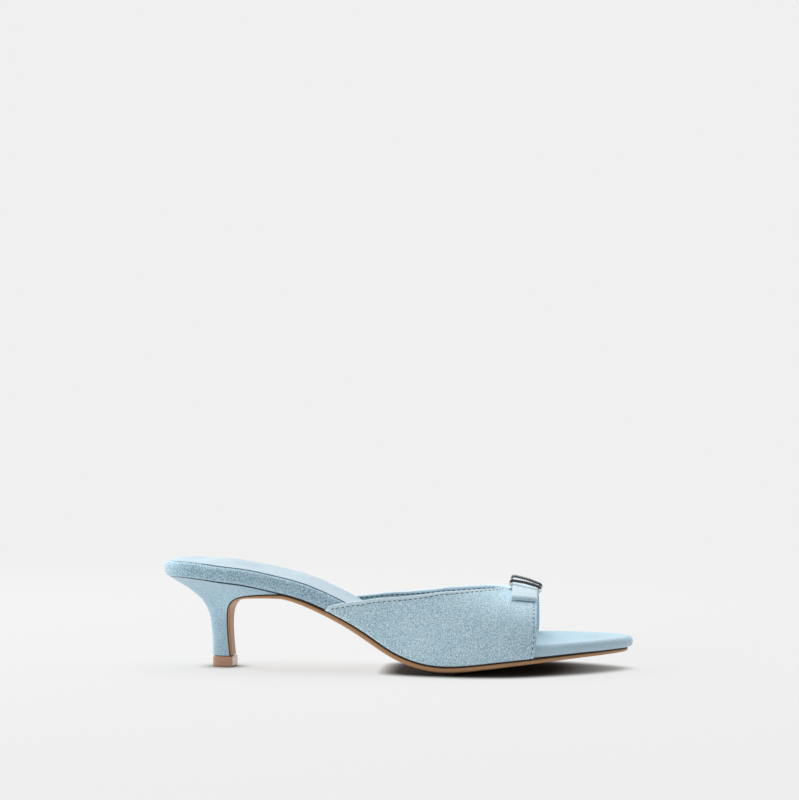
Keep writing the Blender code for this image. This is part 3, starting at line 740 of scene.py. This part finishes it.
Topline = namedtuple("Topline", "along outer inner")
TOPLINE = [Topline(*row) for row in (
    (0.3560, 0.000, 0.000),
    (0.3610, 0.043, 0.032),
    (0.3690, 0.086, 0.064),
    (0.3880, 0.144, 0.124),
    (0.4300, 0.275, 0.252),
    (0.4750, 0.417, 0.392),
    (0.5400, 0.590, 0.557),
    (0.6000, 0.741, 0.696),
    (0.6500, 0.853, 0.807),
    (0.6900, 0.934, 0.902),
    (0.7200, 0.990, 0.970),
)]

Front = namedtuple("Front", "turn along")
FRONT = [Front(*row) for row in (
    (0.00, 0.7967), (0.05, 0.8017), (0.12, 0.8035), (0.28, 0.8017),
    (0.50, 0.7992), (0.75, 0.7972), (0.92, 0.7957), (1.00, 0.7917),
)]


def last_section(along, grow, above=0.0):
    """Centre line, half-widths, base and height of the last's section, grown outwards."""
    base = seat_z(along)
    lean = math.sin(2.0 * seat_slope(along)) * 0.5
    foot = along + lean * min(above, FOOTBED_THICK) / LENGTH
    left = lateral(foot) + GAP + grow
    right = medial(foot) + GAP + grow
    high = read(RIDGE, "height", along) * INSTEP_HEIGHT - WALL + grow
    return RIDGE_SIDE, left + RIDGE_SIDE, right - RIDGE_SIDE, base, high


def on_last(along, turn, grow):
    """A point of the last's surface: turn runs from 0 at the outer feather to 1 at the inner one."""
    angle = turn * math.pi
    power = 2.0 / LAST_ROUNDNESS
    up_share = max(math.sin(angle), 0.0) ** power
    high = last_section(along, grow)[-1]
    centre, left, right, base, high = last_section(along, grow, high * up_share)
    wide = left if turn < 0.5 else right
    side = -1.0 if turn < 0.5 else 1.0
    tuck = FEATHER_TUCK * grow / WALL * max(0.0, 1.0 - high * up_share / FEATHER_HIGH) ** 2
    aside = (wide - tuck) * abs(math.cos(angle)) ** power
    return Vector((x_at(along), centre + side * aside, base + high * up_share))


def turn_at_share(share):
    return math.asin(share ** (LAST_ROUNDNESS / 2.0)) / math.pi


def throat(share):
    """Topline from the outer rear corner (0) over the middle of the throat (0.5) to the inner one (1)."""
    side = "outer" if share < 0.5 else "inner"
    way = 1.0 - abs(share - 0.5) * 2.0
    first_row = TOPLINE[0].along
    last_row = TOPLINE[-1].along
    if way <= THROAT_CUT:
        along = lerp(first_row, last_row, math.sin(way / THROAT_CUT * math.pi / 2.0) ** THROAT_EASE)
        turn = turn_at_share(max(read(TOPLINE, side, along), 0.0))
    else:
        t = (way - THROAT_CUT) / (1.0 - THROAT_CUT)
        turn = lerp(turn_at_share(getattr(TOPLINE[-1], side)), 0.5, t)
        along = lerp(last_row, THROAT_END, 1.0 - (1.0 - t) ** 2)
    return along, turn if share < 0.5 else 1.0 - turn


def band_line(share):
    """Stations and turns of one line across the band, from the topline (0) to the front edge (1)."""
    along_top, turn_top = throat(share)
    turn_front = 0.5 * (1.0 - abs(share - 0.5) * 2.0) ** FRONT_EASE
    if share > 0.5:
        turn_front = 1.0 - turn_front
    along_front = read(FRONT, "along", turn_front)
    return lambda t: (lerp(along_top, along_front, t), lerp(turn_top, turn_front, t))


BAND_ACROSS = 200
BAND_MIDDLE = 30
EDGE_STEP = 0.3 * MM
EDGE_STEPS = 14
LINE_STEPS = 48
TOP_STITCH_IN = 2.2 * MM
FRONT_STITCH_IN = 1.7 * MM
SEAM_WIDE = 0.4 * MM
SEAM_DEEP = 0.16 * MM
FOLD_PLUMP = 0.2 * MM
HIGHLIGHT_SHORT_OF_SEAM = 0.35 * MM
LINING_SEAM_IN = 1.3 * MM
LINING_SEAM_DEEP = 0.35 * MM
CAP_POINTS = 4
CAP_SUEDE = 4
EDGE_SAMPLES = 4 * BAND_ACROSS


def edge_tree(end, grow):
    """Points along one edge of the band, to measure the distance from it."""
    found = KDTree(EDGE_SAMPLES + 1)
    for i in range(EDGE_SAMPLES + 1):
        found.insert(on_last(*band_line(i / EDGE_SAMPLES)(end), grow), i)
    found.balance()
    return found


def from_edge(tree_of_edge, point):
    return tree_of_edge.find(point)[2]


def crossing(points, distances, goal):
    """Where a row of points first lies the given distance from an edge."""
    for a, b, near, far in zip(points, points[1:], distances, distances[1:]):
        if near < goal <= far:
            return a.lerp(b, (goal - near) / (far - near))
    return None


edge_round = WALL / 2.0
outer_top = edge_tree(0.0, WALL)
outer_front = edge_tree(1.0, WALL)
inner_top = edge_tree(0.0, 0.0)
band_suede = microsuede("band_microsuede", "#E2F7FF", "#98C2D6")
highlight_marks = []
seams = {"topline": [], "front": [], "topline_lining": [], "front_lining": []}
rings = []
for i in range(BAND_ACROSS + 1):
    line = band_line(i / BAND_ACROSS)
    coarse = [on_last(*line(k / LINE_STEPS), WALL) for k in range(LINE_STEPS + 1)]
    run = [0.0]
    for a, b in zip(coarse, coarse[1:]):
        run.append(run[-1] + (b - a).length)
    whole = run[-1]
    from_top = [edge_round + k * EDGE_STEP for k in range(EDGE_STEPS + 1)]
    from_front = [whole - d for d in reversed(from_top)]
    middle = [lerp(from_top[-1], from_front[0], k / BAND_MIDDLE) for k in range(1, BAND_MIDDLE)]
    outer = []
    inner = []
    tops = []
    fronts = []
    for distance in from_top + middle + from_front:
        k = 0
        while k < LINE_STEPS - 1 and run[k + 1] < distance:
            k += 1
        along, turn = line((k + (distance - run[k]) / (run[k + 1] - run[k])) / LINE_STEPS)
        outside = on_last(along, turn, WALL)
        inside = on_last(along, turn, 0.0)
        away = (outside - inside).normalized()
        top = from_edge(outer_top, outside)
        front = from_edge(outer_front, outside)
        relief = 0.0
        for edge, stitch_in in ((top, TOP_STITCH_IN), (front, FRONT_STITCH_IN)):
            relief -= SEAM_DEEP * math.exp(-((edge - stitch_in) / SEAM_WIDE) ** 2)
            relief += FOLD_PLUMP * math.exp(-((edge - 0.5 * stitch_in) / SEAM_WIDE / 2.0) ** 2)
        off_seam = from_edge(inner_top, inside) - LINING_SEAM_IN
        groove = LINING_SEAM_DEEP * math.exp(-(off_seam / SEAM_WIDE) ** 2)
        outer.append(outside + away * relief)
        inner.append(inside + away * groove)
        tops.append(top)
        fronts.append(front)
    for name, row, distances, goal in (
        ("topline", outer, tops, TOP_STITCH_IN),
        ("topline_lining", inner, tops, LINING_SEAM_IN),
        ("front", list(reversed(outer)), list(reversed(fronts)), FRONT_STITCH_IN),
        ("front_lining", list(reversed(inner)), list(reversed(fronts)), FRONT_STITCH_IN),
    ):
        found = crossing(row, distances, goal)
        if found:
            seams[name].append(found)
    caps = []
    for end, tip in ((0, 0.0), (-1, 1.0)):
        centre = (outer[end] + inner[end]) * 0.5
        goal = (on_last(*line(tip), WALL) + on_last(*line(tip), 0.0)) * 0.5
        reach = (goal - centre).normalized() * edge_round
        cap = []
        for k in range(1, CAP_POINTS + 1):
            angle = math.pi * k / (CAP_POINTS + 1)
            cap.append(centre + (outer[end] - centre) * math.cos(angle) + reach * math.sin(angle))
        caps.append(cap)
    half = CAP_POINTS // 2
    # The topline's fold, from its cap to a little short of the stitches outside and of the lining seam
    # inside, is given the paler suede: a painted highlight on the edge that faces the light.
    pale = [top < TOP_STITCH_IN - HIGHLIGHT_SHORT_OF_SEAM for top in tops]
    inner_highlight = [top < LINING_SEAM_IN - HIGHLIGHT_SHORT_OF_SEAM for top in tops]
    highlight_marks.append(
        [True] * half + pale + [False] * CAP_POINTS + list(reversed(inner_highlight))
        + [True] * (CAP_POINTS - half)
    )
    rings.append(
        list(reversed(caps[0][:half])) + outer + caps[1] + list(reversed(inner))
        + list(reversed(caps[0][half:]))
    )
points, faces = skin(rings, start=True, end=True)
count = len(rings[0])
inner_from = CAP_POINTS // 2 + len(outer) + CAP_POINTS + CAP_SUEDE
inner_to = count - CAP_POINTS // 2 - CAP_SUEDE
marks = []
for r in range(len(rings) - 1):
    for c in range(count):
        if highlight_marks[r][c]:
            marks.append(2)
        else:
            marks.append(1 if inner_from <= c < inner_to else 0)
marks += [0] * (len(faces) - len(marks))
band = piece("band", points, faces, [band_suede, lining, highlight_suede], marks)
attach(band, "root")
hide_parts("upper")


# Stitches. Lockstitch in a darker blue polyester thread along the topline and the front edge, seen
# on the suede and, on the far wing, on the lining. A gap is left between one stitch and the next.
STITCH_PITCH = 2.7 * MM
STITCH_LONG = 1.6 * MM
THREAD_WIDE = 0.45 * MM
BOBBIN_WIDE = 0.75 * MM

# Polyester thread: two twisted plies that show as a fine slant, slightly shiny.
thread = two_toned(
    "polyester_thread", "ShaderNodeTexNoise", "Fac", {"Scale": 1.0 / (0.5 * MM)},
    low="#1C2B39", high="#384D5E", roughness=0.6,
)

sewing = bpy.data.node_groups.new("sewing", "GeometryNodeTree")
for name, kind in (
    ("Geometry", "Geometry"),
    ("Pitch", "Float"),
    ("Stitch length", "Float"),
    ("Thread width", "Float"),
    ("Thread", "Material"),
):
    sewing.interface.new_socket(name, in_out="INPUT", socket_type="NodeSocket" + kind)
sewing.interface.new_socket("Geometry", in_out="OUTPUT", socket_type="NodeSocketGeometry")
given = add_node(sewing, "NodeGroupInput").outputs
seam = add_node(sewing, "GeometryNodeMeshToCurve", "Curve", {"Mesh": given["Geometry"]})
spacing = {"Curve": seam, "Length": given["Pitch"]}
spaced = add_node(sewing, "GeometryNodeResampleCurve", "Curve", spacing, mode="LENGTH")
along_seam = add_node(sewing, "GeometryNodeInputTangent", "Tangent")
laid = add_node(
    sewing, "FunctionNodeAlignRotationToVector", "Rotation", {"Vector": along_seam}, axis="Z",
)
size = add_node(sewing, "ShaderNodeCombineXYZ", "Vector", {
    "X": given["Thread width"],
    "Y": given["Thread width"],
    "Z": given["Stitch length"],
})
ball = {"Segments": 8, "Rings": 6, "Radius": 0.5}
bead = add_node(sewing, "GeometryNodeMeshUVSphere", "Mesh", ball)
laying = {"Points": spaced, "Instance": bead, "Rotation": laid, "Scale": size}
placed = add_node(sewing, "GeometryNodeInstanceOnPoints", "Instances", laying)
real = add_node(sewing, "GeometryNodeRealizeInstances", "Geometry", {"Geometry": placed})
rounded = add_node(sewing, "GeometryNodeSetShadeSmooth", "Geometry", {"Geometry": real})
dyeing = {"Geometry": rounded, "Material": given["Thread"]}
threaded = add_node(sewing, "GeometryNodeSetMaterial", "Geometry", dyeing)
add_node(sewing, "NodeGroupOutput", inputs={"Geometry": threaded})


def sewn(name, path, values):
    """Runs the sewing along a path and gives the stitches back as a plain mesh object."""
    line = bpy.data.meshes.new(name)
    line.from_pydata([tuple(p) for p in path], [(k, k + 1) for k in range(len(path) - 1)], [])
    source = in_scene(name, line)
    modifier = source.modifiers.new(sewing.name, "NODES")
    modifier.node_group = sewing
    for item in sewing.interface.items_tree:
        if item.in_out == "INPUT" and item.name in values:
            modifier[item.identifier] = values[item.name]
    bpy.context.view_layer.update()
    evaluated = source.evaluated_get(bpy.context.evaluated_depsgraph_get())
    mesh = bpy.data.meshes.new_from_object(evaluated)
    mesh.name = name
    made = in_scene(name, mesh)
    bpy.data.objects.remove(source)
    return made


for name, width in (
    ("topline", THREAD_WIDE),
    ("front", THREAD_WIDE),
    ("topline_lining", BOBBIN_WIDE),
    ("front_lining", BOBBIN_WIDE),
):
    stitches = sewn(name + "_stitches", seams[name], {
        "Pitch": STITCH_PITCH,
        "Stitch length": STITCH_LONG,
        "Thread width": width,
        "Thread": thread,
    })
    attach(stitches, "root")


# Strap. A folded strip of microsuede, glued flat on itself into a low loop that lies across the
# band. The buckle holds it down; its outer end is cut on a slant and stands a little open.
STRAP_BACK = 0.7475
STRAP_FRONT = 0.8000
STRAP_LATERAL = -21.0 * MM
STRAP_MEDIAL = 21.0 * MM
STRAP_SKEW = 3.8 * MM
STRAP_LAYER = 0.9 * MM
STRAP_LIFT = 0.35 * MM
STRAP_PINCH = 2.3 * MM
STRAP_PUFF = 0.5 * MM
STRAP_BULGE = 0.32
STRAP_STEPS = 64
STRAP_SECTIONS = 14
FOLD_STEPS = 20
FOLD_DROP = 0.35
CREASE_DEEP = 0.7 * MM
CREASE_AT = 1.5
CREASE_WIDE = 0.2
BAR_PRESS = 0.3 * MM
BAR_AT = 7.0 * MM
BAR_PRESS_WIDE = 1.6 * MM
STRAP_ROUND = 0.3 * MM


def over_band(along, y, lift):
    """A point above the band's outer face at a given side position."""
    centre, left, right, base, high = last_section(along, WALL)
    aside = y - centre
    wide = left if aside < 0.0 else right
    share = (1.0 - min(abs(aside) / wide, 1.0) ** LAST_ROUNDNESS) ** (1.0 / LAST_ROUNDNESS)
    return Vector((x_at(along), y, base + high * share + lift))


def strap_loop(section, face):
    """Closed line of the flattened loop at a share of its width: its outer (1) or inner face (0)."""
    along = lerp(STRAP_BACK, STRAP_FRONT, section)
    pull = STRAP_LAYER * (1.0 - face)
    low = STRAP_LIFT + pull
    under = []
    over = []
    for k in range(STRAP_STEPS + 1):
        share = k / STRAP_STEPS
        y = lerp(STRAP_LATERAL + section * STRAP_SKEW + pull, STRAP_MEDIAL - pull, share)
        hollow = lerp(STRAP_PINCH, STRAP_PUFF, abs(share - 0.5) * 2.0)
        hollow -= BAR_PRESS * math.exp(-((abs(y) - BAR_AT) / BAR_PRESS_WIDE) ** 2)
        under.append(over_band(along, y, low))
        over.append(over_band(along, y, low + hollow + 2.0 * STRAP_LAYER * face))
    ends = []
    for base, crest, side in ((under[-1], over[-1], 1.0), (under[0], over[0], -1.0)):
        radius = 0.5 * (crest - base)
        bulge = STRAP_BULGE * 2.0 * radius.length
        fold = []
        for k in range(1, FOLD_STEPS):
            angle = math.pi * k / FOLD_STEPS
            out = Vector((0.0, side, -FOLD_DROP)) * bulge * math.sin(angle)
            crease = Vector((0.0, -side, FOLD_DROP)) * CREASE_DEEP * face
            crease *= math.exp(-((angle - CREASE_AT) / CREASE_WIDE) ** 2)
            fold.append((base + crest) * 0.5 - radius * math.cos(angle) + out + crease)
        ends.append(fold)
    return under + ends[0] + list(reversed(over)) + list(reversed(ends[1]))


strap_suede = microsuede("pale_brushed_strap", "#E4F4FB", "#C3DDE8", crisp=0.7)
sections = [k / STRAP_SECTIONS for k in range(STRAP_SECTIONS + 1)]
outer_loops = [strap_loop(section, 1.0) for section in sections]
inner_loops = [strap_loop(section, 0.0) for section in reversed(sections)]
points, faces = skin(outer_loops + inner_loops + [outer_loops[0]])
count = len(outer_loops[0])
# The loop's lateral fold is given the paler suede: a painted highlight where the fold faces the top
# light.
lateral_highlight_from = count - FOLD_STEPS
marks = [1 if k % count >= lateral_highlight_from else 0 for k in range(len(faces))]
strap = piece("strap_loop", points, faces, [strap_suede, highlight_suede], marks)
turn_edges(strap, STRAP_ROUND)
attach(strap, "root")
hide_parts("strap")


# Buckle. A plain frame of chromed steel wire, bent in one loop with its long sides arched over the
# strap and its ends low in front of and behind it. It has no prong and only clasps the strap.
BUCKLE_LATERAL = -7.0 * MM
BUCKLE_MEDIAL = 7.0 * MM
WIRE = 0.8 * MM
WIRE_LOW = 2.5 * MM
WIRE_BEND = 2.2 * MM
BEND_ROOM = 0.45
BEND_STEPS = 8
BOW_STEPS = 12
BOW = 0.35 * MM
END_STEPS = 14

Arch = namedtuple("Arch", "side back front")
ARCHES = (
    Arch(BUCKLE_LATERAL, 5.60 * MM, 5.05 * MM),
    Arch(BUCKLE_MEDIAL, 6.35 * MM, 4.60 * MM),
)
BAR_PROFILE = [Edge(*row) for row in (
    (-0.80, -1.04), (-1.02, -0.92), (-1.10, -0.70), (-1.02, -0.54),
    (-0.03, 0.63), (0.10, 0.78), (0.12, 0.92), (0.15, 0.97),
    (0.21, 0.98), (0.27, 0.92), (0.32, 0.80), (0.86, -0.70),
    (0.90, -0.82), (0.88, -0.95), (0.74, -1.04), (0.00, -1.08),
)]

# Chromium plate on steel: a near mirror, with faint waviness from the tumbled wire below.
chrome, tree, place = new_material("polished_chrome")
swell = {"Vector": place, "Scale": 1.0 / (1.5 * MM)}
waves = add_node(tree, "ShaderNodeTexNoise", "Fac", swell)
polish = {"Value": waves, "To Min": 0.06, "To Max": 0.14}
ripple = {"Height": waves, "Strength": 0.08, "Distance": 0.05 * MM}
shader = add_node(tree, "ShaderNodeBsdfPrincipled", "BSDF", {
    "Base Color": linear("#DADCE0"),
    "Metallic": 1.0,
    "Roughness": add_node(tree, "ShaderNodeMapRange", "Result", polish),
    "Normal": add_node(tree, "ShaderNodeBump", "Normal", ripple),
})
add_node(tree, "ShaderNodeOutputMaterial", inputs={"Surface": shader})

buckle_back = STRAP_BACK - (WIRE + GAP) / LENGTH
buckle_front = STRAP_FRONT + (WIRE + GAP) / LENGTH
near, far = ARCHES
corner_line = [
    (buckle_front, near.side, WIRE_LOW),
    (buckle_front, near.side, near.front),
    (buckle_back, near.side, near.back),
    (buckle_back, near.side, WIRE_LOW),
    (buckle_back, far.side, WIRE_LOW),
    (buckle_back, far.side, far.back),
    (buckle_front, far.side, far.front),
    (buckle_front, far.side, WIRE_LOW),
]
corner_points = [over_band(*corner) for corner in corner_line]
wire_path = []
for i, here in enumerate(corner_points):
    before = corner_points[i - 1]
    following = (i + 1) % len(corner_points)
    after = corner_points[following]
    start = here + (before - here).normalized() * min(WIRE_BEND, BEND_ROOM * (before - here).length)
    end = here + (after - here).normalized() * min(WIRE_BEND, BEND_ROOM * (after - here).length)
    for k in range(BEND_STEPS + 1):
        t = k / BEND_STEPS
        wire_path.append(start.lerp(here, t).lerp(here.lerp(end, t), t))
    goal = after + (here - after).normalized() * min(WIRE_BEND, BEND_ROOM * (here - after).length)
    if corner_line[i][1] != corner_line[following][1]:
        for k in range(1, END_STEPS):
            y = lerp(end.y, goal.y, k / END_STEPS)
            wire_path.append(over_band(corner_line[i][0], y, WIRE_LOW))
    elif corner_line[i][0] != corner_line[following][0]:
        for k in range(1, BOW_STEPS):
            share = k / BOW_STEPS
            wire_path.append(end.lerp(goal, share) + Vector((0.0, 0.0, BOW * math.sin(math.pi * share))))

# The profile is carried round the loop without twisting, and what is left over is spread out evenly.
size = len(wire_path)
tangents = [(wire_path[(k + 1) % size] - wire_path[k - 1]).normalized() for k in range(size)]
out = Vector((0.0, 0.0, -1.0))
outs = []
for k in range(size):
    if k:
        out = tangents[k - 1].rotation_difference(tangents[k]) @ out
    out = (out - tangents[k] * out.dot(tangents[k])).normalized()
    outs.append(out)
home = tangents[-1].rotation_difference(tangents[0]) @ out
over = tangents[0].cross(outs[0])
left_over = math.atan2(home.dot(over), home.dot(outs[0]))
rings = []
for k in range(size):
    spin = Matrix.Rotation(-left_over * k / size, 3, tangents[k])
    aside = spin @ outs[k]
    above = tangents[k].cross(aside)
    if k == 0:
        sign = 1.0 if above.x > 0.0 else -1.0
    rings.append([wire_path[k] + (aside * f.out + above * sign * f.up) * WIRE for f in BAR_PROFILE])
points, faces = skin(rings + [rings[0]])
buckle = piece("buckle_frame", points, faces, [chrome])
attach(buckle, "root")
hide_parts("buckle")


# Studio. A white sweep, floor and backdrop in one, evenly lit away from the shoe. A wide soft light
# hangs a little behind it, one whitens the back of the heel and a weak one fills the near side. The
# room is bright on all sides but the camera's, so the shoe's near side stays darker than its top.
BACKDROP = "#F0F0F0"
SWEEP_WIDE = 8.0
SWEEP_BACK = 2.2
SWEEP_HIGH = 5.0
SWEEP_ROUND = 1.2
SWEEP_FRONT = -0.48
SWEEP_STEPS = 16
EVEN_FROM = 0.25
EVEN_BY = 0.8
CONTACT_REACH = 0.011
CONTACT_POWER = 1.3
TOWARDS_LIGHT = (0.0, -0.95, 0.3)
BELOW_FLOOR = 0.36
GLOW_SHARE = 0.8

# Seamless paper: matt and even. Away from the shoe it glows at the tone that it has beside it, and
# close to the shoe the glow is dimmed by occlusion from the shoe: a painted contact shadow.
paper, tree, place = new_material("white_paper")
away = add_node(tree, "ShaderNodeVectorMath", "Value", {0: place}, operation="LENGTH")
limits = {"Value": away, "From Min": EVEN_FROM, "From Max": EVEN_BY}
even = add_node(
    tree, "ShaderNodeMapRange", "Result", limits, interpolation_type="SMOOTHSTEP",
)
matt = {"Color": linear("#E2E2E2"), "Roughness": 0.3}
lit = add_node(tree, "ShaderNodeBsdfDiffuse", "BSDF", matt)
reach = {"Distance": CONTACT_REACH, "Normal": TOWARDS_LIGHT}
open_sky = add_node(tree, "ShaderNodeAmbientOcclusion", "AO", reach, samples=16)
limits = {"Value": open_sky, "From Min": BELOW_FLOOR}
above_floor = add_node(tree, "ShaderNodeMapRange", "Result", limits)
raised = {0: above_floor, 1: CONTACT_POWER}
painted_contact_shadow = add_node(tree, "ShaderNodeMath", "Value", raised, operation="POWER")
glowing = {"Color": linear(BACKDROP), "Strength": painted_contact_shadow}
glow = add_node(tree, "ShaderNodeEmission", "Emission", glowing)
beside = add_node(tree, "ShaderNodeMixShader", "Shader", {0: GLOW_SHARE, 1: lit, 2: glow})
surface = add_node(tree, "ShaderNodeMixShader", "Shader", {0: even, 1: beside, 2: glow})
add_node(tree, "ShaderNodeOutputMaterial", inputs={"Surface": surface})

profile = [(SWEEP_FRONT, 0.0), (0.0, 0.0)]
for k in range(SWEEP_STEPS + 1):
    angle = math.pi / 2.0 * k / SWEEP_STEPS
    profile.append((
        SWEEP_BACK - SWEEP_ROUND * (1.0 - math.sin(angle)),
        SWEEP_ROUND * (1.0 - math.cos(angle)),
    ))
profile.append((SWEEP_BACK, SWEEP_HIGH))
points = [(side * SWEEP_WIDE / 2.0, y, z) for y, z in profile for side in (-1.0, 1.0)]
faces = [(2 * k, 2 * k + 1, 2 * k + 3, 2 * k + 2) for k in range(len(profile) - 1)]
sweep = piece("sweep", points, faces, [paper])


def soft_light(name, place, target, wide, long, watts, mirrored=True):
    light = bpy.data.lights.new(name, "AREA")
    light.shape = "RECTANGLE"
    light.size = wide
    light.size_y = long
    light.energy = watts
    made = in_scene(name, light)
    made.location = place
    made.rotation_euler = (Vector(target) - Vector(place)).to_track_quat("-Z", "Y").to_euler()
    made.visible_glossy = mirrored


soft_light(
    "overhead", place=(0.08, 0.45, 1.8), target=(0.08, 0.0, 0.0),
    wide=2.4, long=2.0, watts=36.0,
)
soft_light(
    "heel_side", place=(-1.1, 0.40, 0.55), target=(0.0, 0.0, 0.03),
    wide=0.7, long=0.9, watts=9.0,
)
soft_light(
    "front", place=(-1.2, -1.0, 0.4), target=(0.05, 0.0, 0.03),
    wide=1.0, long=0.6, watts=8.0, mirrored=False,
)

DARK_BY = -0.45
BRIGHT_FROM = 0.25
ROOM_DARK = 0.08
ROOM_BRIGHT = 0.5
room = bpy.data.worlds.new("studio_room")
room.use_nodes = True
tree = room.node_tree
tree.nodes.clear()
# Daylight room: its white walls fade to a dark one behind the camera.
way = add_node(tree, "ShaderNodeTexCoord", "Generated")
parts = add_node(tree, "ShaderNodeSeparateXYZ", inputs={"Vector": way}).outputs
limits = {"Value": parts["Y"], "From Min": DARK_BY, "From Max": BRIGHT_FROM}
limits.update({"To Min": ROOM_DARK, "To Max": ROOM_BRIGHT})
wall = add_node(tree, "ShaderNodeMapRange", "Result", limits, interpolation_type="SMOOTHSTEP")
daylight = {"Color": linear("#FAFCFF"), "Strength": wall}
air = add_node(tree, "ShaderNodeBackground", "Background", daylight)
add_node(tree, "ShaderNodeOutputWorld", inputs={"Surface": air})
bpy.context.scene.world = room
bpy.context.scene.view_settings.view_transform = "Standard"


# Camera. About 1.6 m away at the height of a table top, five degrees round towards the toe, with a
# lens long enough to keep the outline nearly free of perspective.
CAMERA_AWAY = 1.6
CAMERA_ROUND = math.radians(5.0)
CAMERA_DOWN = math.radians(5.8)
PIXEL = 0.52 * MM
IMAGE_WIDE = 799.0
IMAGE_HIGH = 800.0
ANCHOR = Vector((2.1, -6.0, 0.0)) * MM
ANCHOR_PIXEL = (226.5, 667.3)
MIDDLE_ROW = 615.0
SENSOR = 36.0
FARTHEST = 20.0

focal = CAMERA_AWAY / PIXEL
pitch = CAMERA_DOWN - math.atan((MIDDLE_ROW - IMAGE_HIGH / 2.0) / focal)
level = Vector((-math.sin(CAMERA_ROUND), math.cos(CAMERA_ROUND), 0.0))
forward = level * math.cos(pitch) - Vector((0.0, 0.0, math.sin(pitch)))
right = Vector((level.y, -level.x, 0.0))
up = right.cross(forward)
ray = (
    forward * focal
    + right * (ANCHOR_PIXEL[0] - IMAGE_WIDE / 2.0)
    - up * (ANCHOR_PIXEL[1] - IMAGE_HIGH / 2.0)
).normalized()
camera_data = bpy.data.cameras.new("photo_view")
camera_data.sensor_fit = "HORIZONTAL"
camera_data.sensor_width = SENSOR
camera_data.lens = focal * SENSOR / IMAGE_WIDE
camera_data.clip_end = FARTHEST
camera = in_scene("photo_view", camera_data)
camera.location = ANCHOR - ray * (CAMERA_AWAY / ray.dot(forward))
camera.rotation_euler = forward.to_track_quat("-Z", "Y").to_euler()
bpy.context.scene.camera = camera
